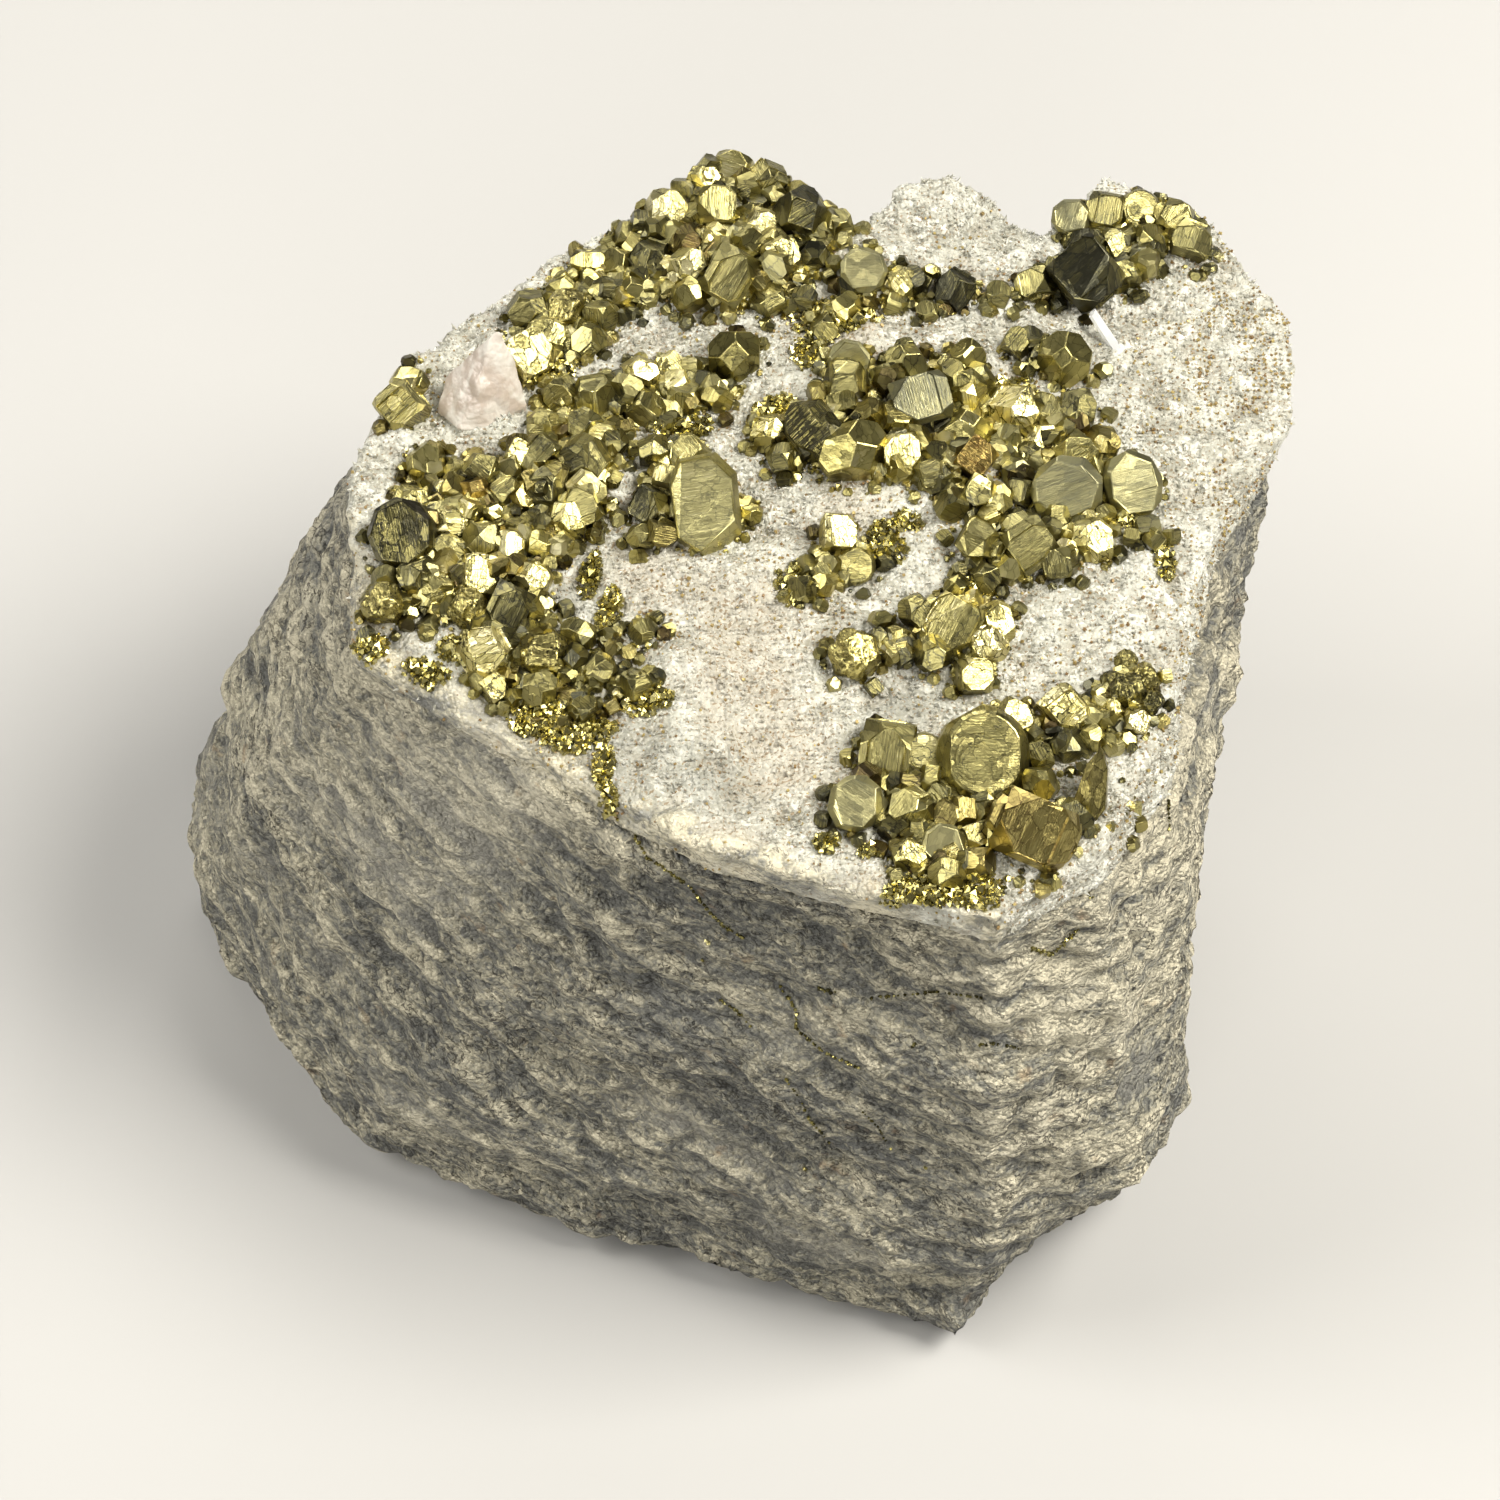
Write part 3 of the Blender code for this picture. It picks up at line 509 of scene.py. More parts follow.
STEP_DEPTH, RISER_SHARE, STRIP_TILT, WORN_EDGE = 0.030, 0.012, 0.18, 0.013


def lines_along(normal):
    """The way that the growth lines run on a face: along the crystal axis that its zone turns about."""
    main = max(range(3), key=lambda i: abs(normal[i]))
    return (Vector((0, 0, 1)), Vector((1, 0, 0)), Vector((0, 1, 0)))[main]


def choose_faces(blank, wanted):
    """Selects in edit mode the faces that wanted names, and gives the mesh being edited."""
    work = bmesh.from_edit_mesh(blank.data)
    for face in work.faces:
        face.select_set(wanted(face))
    bmesh.update_edit_mesh(blank.data)
    return work


def cut_off(normal, reach):
    """Cuts away all of the selected blank past a plane, and closes it there."""
    bpy.ops.mesh.select_all(action="SELECT")
    bpy.ops.mesh.bisect(plane_co=normal * reach, plane_no=normal, use_fill=True, clear_outer=True)


def line_face(blank, normal, steps, chance, depth=STEP_DEPTH, tilt=STRIP_TILT):
    """Cuts a flat face into strips along its growth lines, and sinks some of them."""
    def on_face(face):
        return face.normal.dot(normal) > 0.9995

    work = choose_faces(blank, on_face)
    corners = [v.co.copy() for f in work.faces if f.select for v in f.verts]
    if len(corners) < 3:
        return
    along = lines_along(normal)
    across = along.cross(normal).normalized()
    low, high = min(c.dot(across) for c in corners), max(c.dot(across) for c in corners)
    marks = sorted(low + (high - low) * (n + chance.uniform(-0.35, 0.35)) / steps for n in range(1, steps))
    riser = (high - low) * RISER_SHARE
    for mark in marks:
        for cut in (mark - riser, mark + riser):
            choose_faces(blank, on_face)
            bpy.ops.mesh.bisect(plane_co=across * cut, plane_no=across, threshold=1e-5)
    ends = marks + [high + 1]
    middle, half = (low + high) / 2, (high - low) / 2
    sunk = [depth * (0.8 * chance.random() + 1.2 * ((max(low, a) + min(high, b)) / 2 - middle) ** 2 / half ** 2)
            for a, b in zip([low - 1] + marks, ends)]
    middles = [(max(low, a) + min(high, b)) / 2 for a, b in zip([low - 1] + marks, ends)]
    tilts = [tilt * chance.uniform(0.3, 1.0) * (1 if n % 2 else -1) for n in range(len(ends))]
    work = choose_faces(blank, on_face)
    for vertex in {v for f in work.faces if f.select for v in f.verts}:
        over = vertex.co.dot(across)
        strip = next(i for i, end in enumerate(ends) if over < end)
        vertex.co -= normal * (sunk[strip] + tilts[strip] * (over - middles[strip]))
    bmesh.update_edit_mesh(blank.data)


def finish_blank(blank, chance):
    """Gives a blank a UV map along its growth lines, and each of its faces a tone."""
    bpy.ops.object.mode_set(mode="OBJECT")
    mesh = blank.data
    if not mesh.uv_layers:
        mesh.uv_layers.new(name="UVMap")
    for name in ("tone", "lines", "hue", "rough"):
        mesh.attributes.new(name, "FLOAT", "FACE")
    uv, tones, lines = mesh.uv_layers[0], mesh.attributes["tone"], mesh.attributes["lines"]
    for face in mesh.polygons:
        along = lines_along(face.normal)
        across = along.cross(face.normal).normalized()
        for loop in face.loop_indices:
            place = mesh.vertices[mesh.loops[loop].vertex_index].co
            uv.data[loop].uv = (place.dot(across), place.dot(along))
        tones.data[face.index].value = chance.uniform(-0.10, 0.10)
        lines.data[face.index].value = 1.0 if max(abs(c) for c in face.normal) > 0.8 else 0.2
    mesh.shade_flat()
    blank.name = mesh.name = "pyrite_blank"
    bpy.context.scene.collection.objects.unlink(blank)
    return blank


def in_order():
    """Puts the mesh being edited in the same order in each run, whatever order the cuts left it in."""
    bpy.context.scene.cursor.location = (3.1, 1.7, 2.3)  # no two corners are as far from here
    bpy.ops.mesh.select_all(action="SELECT")
    bpy.ops.mesh.sort_elements(type="CURSOR_DISTANCE", elements={"VERT", "EDGE", "FACE"})
    bpy.context.scene.cursor.location = (0, 0, 0)


def blunt_edges(width):
    """Closes the stray short edges of the blank being edited, and rounds the others a little."""
    in_order()
    bpy.ops.mesh.remove_doubles(threshold=0.02)
    bpy.ops.mesh.dissolve_limited(angle_limit=math.radians(2))
    in_order()
    if width:
        bpy.ops.mesh.bevel(offset=width, segments=1, affect="EDGES", clamp_overlap=True)
        in_order()


def crystal_blank(kind, seed):
    """One crystal about a unit wide round the origin, cut from a cube by the planes of its form."""
    planes, reach, small_planes, small_reach, growth, steps = CRYSTAL_KINDS[kind]
    chance = random.Random(seed)
    half = EDGE_SHARE * growth / 2
    bpy.ops.object.select_all(action="DESELECT")
    bpy.ops.mesh.primitive_cube_add(size=half * 2)
    blank = bpy.context.object
    bpy.ops.object.mode_set(mode="EDIT")
    for normal in planes:
        cut_off(normal, half * reach * chance.uniform(0.84, 1.08))
    for normal in small_planes:
        cut_off(normal, half * small_reach * chance.uniform(0.90, 1.10))
    for normal in CUBE_FACES:
        cut_off(normal, half * chance.uniform(0.78, 0.98))
    blunt_edges(0 if kind.startswith(("small_", "grain_")) else WORN_EDGE)
    if steps:
        for normal in (PENTAGONS if planes is PENTAGONS else CUBE_FACES):
            line_face(blank, normal, steps, chance)
    return finish_blank(blank, chance)


BLANKS = {kind: [crystal_blank(kind, 100 * i + n) for n in range(VARIANTS)] for i, kind in enumerate(CRYSTAL_KINDS)}

# Large flat plates seen face on, round crystals stepped like stacked discs, and a thin blade.
PLATE_TOP, ROUND_PLATES, ROUND_TURN = 0.27, 5, -0.9


def plate_blank(seed, top, steps):
    """A crystal with one wide, nearly smooth, six-sided top face."""
    chance = random.Random(seed)
    bpy.ops.object.select_all(action="DESELECT")
    bpy.ops.mesh.primitive_cylinder_add(vertices=9, radius=0.5, depth=0.9)
    blank = bpy.context.object
    bpy.ops.object.mode_set(mode="EDIT")
    cut_off(Vector((0, 0, 1)), top)
    for n in range(7):
        turn = math.tau * (n + chance.uniform(-0.2, 0.2)) / 7
        outward = Vector((math.cos(turn), math.sin(turn), chance.uniform(0.75, 1.1))).normalized()
        cut_off(outward, chance.uniform(0.43, 0.47) * math.cos(math.atan(outward.z)) + top * 0.32)
    blunt_edges(WORN_EDGE)
    if steps:
        line_face(blank, Vector((0, 0, 1)), steps, chance, depth=0.012)
    return finish_blank(blank, chance)


def round_blank(seed):
    """A rounded crystal with low round plates stepped up its top, each a little off the middle."""
    chance = random.Random(seed)
    bpy.ops.object.select_all(action="DESELECT")
    bpy.ops.mesh.primitive_uv_sphere_add(segments=20, ring_count=12, radius=0.5)
    blank = bpy.context.object
    bpy.ops.object.mode_set(mode="EDIT")
    for normal in PENTAGONS:
        if normal.z < 0.8:
            cut_off(normal, 0.46 * chance.uniform(0.96, 1.02))
    cut_off(Vector((0, 0, 1)), 0.30)
    blunt_edges(WORN_EDGE)
    bpy.ops.mesh.select_all(action="DESELECT")
    x, y, radius, height = 0.0, 0.0, 0.37, 0.30
    for n in range(ROUND_PLATES):
        bpy.ops.mesh.primitive_cylinder_add(vertices=22, radius=radius, depth=0.10, location=(x, y, height - 0.028),
                                            rotation=(chance.uniform(-0.06, 0.06), chance.uniform(-0.06, 0.06), n))
        turn, radius = ROUND_TURN + chance.uniform(-0.4, 0.4), radius * chance.uniform(0.74, 0.82)
        x, y, height = x + math.cos(turn) * radius * 0.16, y + math.sin(turn) * radius * 0.16, height + 0.020
    return finish_blank(blank, chance)


def crusted_blank(seed, cell=0.045):
    """A rough crystal: its faces grown in small uneven terraces, with sharp ridges that flow over them."""
    chance = random.Random(seed)
    blank = crystal_blank("pentagon" if seed % 2 else "corner", seed)
    bpy.context.scene.collection.objects.link(blank)
    rebuilt(blank, cell / MM)
    mesh = blank.data
    offset = Vector([chance.uniform(0, 40) for _ in range(3)])
    for vertex in mesh.vertices:
        at = vertex.co + offset
        flow = Vector((at.x * 6.5, at.y * 2.2, at.z * 6.5)) + noise.noise_vector(at * 2.5) * 0.9
        ridge = 1.0 - 2.2 * abs(noise.noise(flow))
        terrace = math.floor(3.2 * noise.noise(at * 2.3) + 1.6 * noise.noise(at * 5.5)) * 0.022
        vertex.co += vertex.normal * (terrace + 0.030 * ridge - 0.02)
    bpy.ops.object.select_all(action="DESELECT")
    bpy.context.view_layer.objects.active = blank
    blank.select_set(True)
    bpy.ops.object.mode_set(mode="EDIT")
    blank = finish_blank(blank, chance)
    blank.data.shade_smooth()
    return blank


BLADE_SIDES = [(8, 0.17), (28, 0.26), (172, 0.17), (150, 0.27), (-90, 0.42), (200, 0.24), (-25, 0.24)]
BROAD_SIDES = [(92, 0.62, 12), (39, 0.56, 16), (-3, 0.42, 10), (-56, 0.51, 24), (-128, 0.54, 12), (180, 0.41, 10),
               (150, 0.53, 14)]


def blade_blank(seed):
    """A thin leaf of pyrite, widest below its middle and pointed at its top."""
    chance = random.Random(seed)
    bpy.ops.object.select_all(action="DESELECT")
    bpy.ops.mesh.primitive_cube_add(size=1.4)
    blank = bpy.context.object
    bpy.ops.object.mode_set(mode="EDIT")
    for side_way, out in BLADE_SIDES:
        turn = math.radians(side_way)
        cut_off(Vector((math.cos(turn), math.sin(turn), 0)), out)
    for normal in ((0.25, 0.1, 1), (-0.22, 0.05, 1), (0.2, 0, -1), (-0.2, 0, -1)):
        cut_off(Vector(normal).normalized(), 0.10)
    blunt_edges(WORN_EDGE / 2)
    return finish_blank(blank, chance)


def broad_blank(seed):
    """The large crystal's own form: one broad face, longer than wide and pointed below, lined across."""
    chance = random.Random(seed)
    bpy.ops.object.select_all(action="DESELECT")
    bpy.ops.mesh.primitive_cube_add(size=1.5)
    blank = bpy.context.object
    bpy.ops.object.mode_set(mode="EDIT")
    # its outline seen face on: the way each side faces in degrees, how far out it is, and how it leans
    for side_way, out, lean in BROAD_SIDES:
        turn = math.radians(side_way + 90)  # its lines run across it, along the second axis
        outward = Vector((math.cos(turn), math.sin(turn), math.tan(math.radians(lean)))).normalized()
        cut_off(outward, out * math.cos(math.radians(lean)))
        cut_off(Vector((outward.x, outward.y, -0.5)).normalized(), out * 0.90)
    cut_off(Vector((0, 0, 1)), 0.30)
    cut_off(Vector((0, 0, -1)), 0.45)
    blunt_edges(WORN_EDGE)
    line_face(blank, Vector((0, 0, 1)), 15, chance, depth=0.040, tilt=0.34)
    return finish_blank(blank, chance)


BLANKS["plate"] = [plate_blank(700 + n, PLATE_TOP, 5) for n in range(VARIANTS)]
BLANKS["round"] = [round_blank(800 + n) for n in range(VARIANTS)]
BLANKS["crusted"] = [crusted_blank(900 + n) for n in range(VARIANTS)]
BLANKS["broad"] = [broad_blank(1000)]
BLANKS["blade"] = [blade_blank(1100)]

LETTERS = {"C": "cube", "P": "pentagon", "O": "corner"}
# finish: kind of blank ("" keeps the form's own, "lined_" takes its lined one), tone, hue, rough, how lined
FINISHES = {
    # bright and cracked: a paler tone, partly a painted highlight, on crystals that are also turned to catch the key
    # light
    "plain": ("", 0.38, -0.15, 0.3, 1.0), "gold": ("", 0.52, 0.0, 0.25, 0.8), "bright": ("", 0.68, -0.05, 0.75, 0.9),
    "lined": ("lined_", 0.42, -0.2, 0.2, 1.4), "dark": ("lined_", 0.15, -0.15, 0.25, 1.5),
    "darkplate": ("plate", 0.14, -0.05, 0.4, 2.0), "fan": ("lined_", 0.58, -0.05, 0.35, 2.3),
    "blue": ("lined_", 0.24, -0.8, 0.1, 1.3), "cracked": ("lined_", 0.76, 0.0, 0.9, 0.8),
    "rough": ("crusted", 0.48, 0.05, 0.5, 1.2), "orange": ("", 0.40, 0.5, 0.3, 1.0),
    "flame": ("", 0.16, 0.0, 0.7, 3.0), "darkrough": ("crusted", 0.26, 0.0, 0.5, 2.0),
    "brown": ("lined_", 0.40, 0.22, 0.3, 1.6), "grey": ("plate", 0.44, -0.7, 0.12, 0.9),
    "greyround": ("round", 0.58, -0.40, 0.6, 1.0), "round": ("round", 0.46, -0.15, 0.3, 1.0),
    "broad": ("broad", 0.60, -0.50, 0.3, 2.0), "blade": ("blade", 0.34, 0.1, 0.3, 1.5),
}
EYE, EYE_RIGHT = backwards, Vector((1, 0, 0))
EYE_UP = EYE.cross(EYE_RIGHT)
KEY_AT = Vector(SOFT_LIGHTS[0][1]) / MM

CRUST_TOP = 57.0  # about how high it is
crust_tree = BVHTree.FromPolygons([v.co / MM for v in crust.data.vertices],
                                  [p.vertices for p in crust.data.polygons])


def crust_at(x, y):
    """The place on the crust over a point that the photograph's reading gives, and the way it faces."""
    hit, normal, _, _ = crust_tree.ray_cast(Vector((x, y, 200)) + MIDDLE, Vector((0, 0, -1)))
    return hit, normal


def facing(outward, lines, corner=False):
    """A turn that brings a crystal's top face, or its corner, to face outward, lined at an angle in the view."""
    wanted = EYE_RIGHT * math.cos(math.radians(lines)) + EYE_UP * math.sin(math.radians(lines))
    along = (wanted - outward * wanted.dot(outward)).normalized()
    turn = Matrix((along.cross(outward), along, outward)).transposed()
    return turn @ CORNERS[0].rotation_difference(Vector((0, 0, 1))).to_matrix() if corner else turn


STRETCH, LINED = (0.90, 1.12), (0.25, 1.35)  # no crystal is as long as it is wide, or lined like the next


def set_crystal(blank, at, width, turn, finish, chance, into, tone_shift=0.0):
    """Puts a copy of a blank, with its own mesh, at a place in millimetres."""
    copy = blank.copy()
    mesh = copy.data = blank.data.copy()
    stretch = Matrix.Diagonal([chance.uniform(*STRETCH) * width * MM for _ in range(3)])
    mesh.transform(Matrix.Translation(at * MM) @ (turn @ stretch).to_4x4())
    start = (chance.uniform(0, 50), chance.uniform(0, 50))
    corners = [0.0] * (2 * len(mesh.loops))
    mesh.attributes["UVMap"].data.foreach_get("vector", corners)
    corners = [along * width + start[i % 2] for i, along in enumerate(corners)]
    mesh.attributes["UVMap"].data.foreach_set("vector", corners)
    tone, hue, rough, lined = finish
    for name, scale, value in (("tone", 1.0, tone + tone_shift), ("hue", 1.0, hue), ("rough", 1.0, rough),
                               ("lines", lined * chance.uniform(*LINED), 0.0)):
        values = [0.0] * len(mesh.polygons)
        mesh.attributes[name].data.foreach_get("value", values)
        mesh.attributes[name].data.foreach_set("value", [own * scale + value for own in values])
    bpy.context.scene.collection.objects.link(copy)
    into.append(copy)


def joined(pieces, name):
    """One object made of all these."""
    bpy.ops.object.select_all(action="DESELECT")
    for piece in pieces:
        piece.select_set(True)
    bpy.context.view_layer.objects.active = pieces[0]
    bpy.ops.object.join()
    whole = bpy.context.view_layer.objects.active
    whole.name = whole.data.name = name
    return whole


def brass_pyrite():
    """Pyrite: metal from near black through olive brass to pale gold, finely lined, here and there dull."""
    material = bpy.data.materials.new("brass_pyrite")
    material.use_nodes = True
    tree = material.node_tree
    shader = tree.nodes["Principled BSDF"]
    shader.inputs["Metallic"].default_value = 1.0
    tone, hue, lines, rough = (node(tree, "Attribute", attribute_name=name).outputs["Fac"]
                               for name in ("tone", "hue", "lines", "rough"))
    place = node(tree, "TexCoord")
    flow = node(tree, "Mapping")
    flow.inputs["Scale"].default_value = (9.0, 0.55, 1.0)
    streaks = node(tree, "TexNoise", in_Scale=1.0, in_Detail=3.0, in_Roughness=0.65, in_Distortion=0.25)
    join(tree, (place.outputs["UV"], flow.inputs["Vector"]), (flow.outputs["Vector"], streaks.inputs["Vector"]))
    dents = stretched_noise(tree, place.outputs["Object"], (1500, 1500, 1500), 3.0, 0.6)
    clouds = stretched_noise(tree, place.outputs["Object"], (380, 380, 380), 3.0, 0.6)
    # plates: each face is a mosaic of flat pieces a millimetre wide, each tilted its own way, cracks between
    spread = node(tree, "Mapping")
    spread.inputs["Scale"].default_value = (1.15, 0.60, 1.0)
    bent = node(tree, "MixRGB", blend_type="LINEAR_LIGHT")
    bent.inputs["Fac"].default_value = 0.22
    cells, cracks = node(tree, "TexVoronoi", in_Scale=1.0), node(tree, "TexVoronoi", feature="DISTANCE_TO_EDGE", in_Scale=1.0)
    wave = node(tree, "TexNoise", in_Scale=2.2, in_Detail=3.0)
    join(tree, (place.outputs["UV"], spread.inputs["Vector"]), (spread.outputs["Vector"], bent.inputs["Color1"]),
         (place.outputs["UV"], wave.inputs["Vector"]), (wave.outputs["Color"], bent.inputs["Color2"]),
         (bent.outputs["Color"], cells.inputs["Vector"]), (bent.outputs["Color"], cracks.inputs["Vector"]))
    centred, tilted, added, level = (node(tree, "VectorMath", operation=operation)
                                     for operation in ("SUBTRACT", "SCALE", "ADD", "NORMALIZE"))
    centred.inputs[1].default_value = (0.5, 0.5, 0.5)
    join(tree, (cells.outputs["Color"], centred.inputs[0]), (centred.outputs[0], tilted.inputs[0]),
         (sum_of(tree, "ADD", sum_of(tree, "MULTIPLY", rough, 0.42), 0.05), tilted.inputs["Scale"]),
         (node(tree, "NewGeometry").outputs["Normal"], added.inputs[0]), (tilted.outputs[0], added.inputs[1]),
         (added.outputs[0], level.inputs[0]))
    piece_tone = node(tree, "SeparateColor")
    join(tree, (cells.outputs["Color"], piece_tone.inputs["Color"]))
    crack = sum_of(tree, "MULTIPLY", ranged(tree, cracks.outputs["Distance"], 0.012, 0.045, 1.0, 0.0), rough)
    streaked = sum_of(tree, "MULTIPLY", sum_of(tree, "SUBTRACT", ranged(tree, streaks.outputs["Fac"], 0.30, 0.70), 0.5),
                      sum_of(tree, "MULTIPLY", lines, 0.34))
    streaked = sum_of(tree, "ADD", streaked, sum_of(tree, "SUBTRACT", sum_of(tree, "MULTIPLY", sum_of(
        tree, "SUBTRACT", piece_tone.outputs["Red"], 0.5), 0.16), sum_of(tree, "MULTIPLY", crack, 0.75)))
    clouded = sum_of(tree, "MULTIPLY", sum_of(tree, "SUBTRACT", clouds, 0.5), 0.55)
    shade = sum_of(tree, "ADD", tone, sum_of(tree, "ADD", streaked, clouded))
    colour = blend_of(tree, ranged(tree, shade, 0.05, 0.38), (0.040, 0.037, 0.022), (0.265, 0.235, 0.083))
    colour = blend_of(tree, ranged(tree, shade, 0.38, 0.64), colour, (0.510, 0.450, 0.170))
    colour = blend_of(tree, ranged(tree, shade, 0.64, 1.0), colour, (0.850, 0.790, 0.500))
    colour = blend_of(tree, ranged(tree, hue, 0.0, 1.0, 0.0, 0.6), colour, (0.430, 0.225, 0.045))
    colour = blend_of(tree, ranged(tree, hue, 0.0, -1.0, 0.0, 0.6), colour, (0.270, 0.275, 0.200))
    bump = node(tree, "Bump", in_Strength=0.6, in_Distance=0.00013)
    join(tree, (level.outputs[0], bump.inputs["Normal"]))
    height = sum_of(tree, "ADD", sum_of(tree, "MULTIPLY", streaks.outputs["Fac"], lines),
                    sum_of(tree, "MULTIPLY", dents, sum_of(tree, "MULTIPLY", rough, 2.2)))
    join(tree, (colour, shader.inputs["Base Color"]), (height, bump.inputs["Height"]),
         (bump.outputs["Normal"], shader.inputs["Normal"]),
         (sum_of(tree, "ADD", ranged(tree, hue, 0.0, -1.0, 0.26, 0.42), sum_of(tree, "MULTIPLY", rough, 0.08)),
          shader.inputs["Roughness"]))
    return material


PYRITE_FINISH = brass_pyrite()
# between two crystals that nearly touch, and round each one: how many small ones and how wide
REACH, FILL_SHARE, FILL_SIZES = 0.88, (0.40, 0.80), (1.1, 3.0)
SATELLITES, SATELLITE_SIZES, GRAINS, GRAIN_SIZES = 5, (0.7, 1.7), 8, (0.25, 0.6)
SMALL_FORMS = 1.1  # crystals narrower than this, in millimetres, have the simplest forms
SMALL_TONES = (0.14, 0.24, 0.32, 0.38, 0.42, 0.46, 0.54, 0.66)
# crystals grown on a large one and turned as it is: how many, how wide, and how far out they stand
GROWN_ON, GROWN_SHARES, GROWN_OUT, SINGLE_KINDS = (1, 3), (0.34, 0.62), (0.17, 0.31), (
    "plate", "round", "broad", "blade", "crusted")


def set_small(x, y, size, lift, chance, pieces):
    """A small crystal on the crust, turned anyhow."""
    surface, normal = crust_at(x, y)
    if surface is None or normal.z < 0.2:
        return
    turn = Euler([chance.uniform(0, math.tau) for _ in range(3)]).to_matrix()
    form = chance.choice(("small_cube", "small_pentagon", "small_corner") if size > SMALL_FORMS else (
        "grain_cube", "grain_corner"))
    set_crystal(chance.choice(BLANKS[form]), surface + Vector((0, 0, size * lift)), size, turn,
                (chance.choice(SMALL_TONES), chance.uniform(-0.40, 0.18), 0.25, 1.0), chance, pieces)


def turn_of(at, letter, finish, view, chance):
    """How a crystal is turned: as it is seen, to catch the light, or anyhow."""
    if view:
        right, up, lines = view
        outward = EYE + EYE_RIGHT * math.tan(math.radians(right)) + EYE_UP * math.tan(math.radians(up))
        return facing(outward.normalized(), lines)
    # turned so that a face mirrors the key light; the paler tone of these finishes is partly a painted highlight
    if finish in ("bright", "cracked"):
        glint = (EYE + (KEY_AT - at).normalized()).normalized()
        glint += Vector([chance.uniform(-0.09, 0.09) for _ in range(3)])
        return facing(glint.normalized(), chance.uniform(0, 180), corner=letter == "O")
    if finish == "gold" and letter == "O":
        outward = EYE + Vector([chance.uniform(-0.45, 0.45) for _ in range(3)])
        return facing(outward.normalized(), chance.uniform(0, 180), corner=True)
    lean = [math.radians(chance.uniform(-LEAN, LEAN)) for _ in range(2)]
    return Euler((*lean, chance.uniform(0, math.tau))).to_matrix()


def pyrite_piece(node_name, rows, seed, crowd=1.0):
    """The crystals of one group, with the small ones that fill the room between them, in place of its node."""
    chance = random.Random(seed)
    pieces = []
    for row in rows:
        x, y, width, letter, finish = row[:5]
        kind, *look = FINISHES[finish]
        kind = kind + LETTERS[letter] if kind in ("", "lined_") else kind
        surface, _ = crust_at(x, y)
        if surface is None:  # just past the crust's broken edge: as high as the crust is there
            past = Vector((x, y, CRUST_TOP)) + MIDDLE
            surface = Vector((past.x, past.y, crust_tree.find_nearest(past)[0].z))
        at = surface + Vector((0, 0, SIT * width))
        turn = turn_of(at, letter, finish, row[5] if len(row) > 5 else None, chance)
        set_crystal(chance.choice(BLANKS[kind]), at, width, turn, look, chance, pieces, chance.uniform(-0.06, 0.06))
        if width > 2.4 and kind not in SINGLE_KINDS:
            for _ in range(chance.randint(*GROWN_ON)):
                outward = turn @ chance.choice(CORNERS + CUBE_FACES)
                slight = Euler([chance.uniform(-0.06, 0.06) for _ in range(3)]).to_matrix()
                set_crystal(chance.choice(BLANKS[kind]), at + outward * width * chance.uniform(*GROWN_OUT),
                            width * chance.uniform(*GROWN_SHARES), turn @ slight, look, chance, pieces,
                            chance.uniform(-0.12, 0.10))
        for sizes, count, lift in ((SATELLITE_SIZES, SATELLITES, 0.12), (GRAIN_SIZES, GRAINS, 0.1)):
            for _ in range(round(count * crowd * width / 3.6)):
                small = chance.uniform(*sizes)
                angle, away = chance.uniform(0, math.tau), width * chance.uniform(0.42, 0.56) + small * 0.35
                set_small(x + math.cos(angle) * away, y + math.sin(angle) * away, small, lift, chance, pieces)
    for n, one in enumerate(rows):
        for other in rows[n + 1:]:
            apart = math.hypot(one[0] - other[0], one[1] - other[1])
            if apart > REACH * (0.7 + 0.3 * crowd) * (one[2] + other[2]) + 0.5:
                continue
            share = one[2] / (one[2] + other[2])
            size = max(FILL_SIZES[0], min(FILL_SIZES[1], (one[2] + other[2]) / 2 * chance.uniform(*FILL_SHARE)))
            for _ in range(3):
                set_small(one[0] + (other[0] - one[0]) * share + chance.uniform(-0.9, 0.9),
                          one[1] + (other[1] - one[1]) * share + chance.uniform(-0.9, 0.9), size,
                          chance.uniform(-0.05, 0.35), chance, pieces)
                size *= 0.75
    group = joined(pieces, node_name + "_crystals")
    group.data.materials.clear()
    group.data.materials.append(PYRITE_FINISH)
    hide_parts(node_name)
    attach(group, "root")
    return group


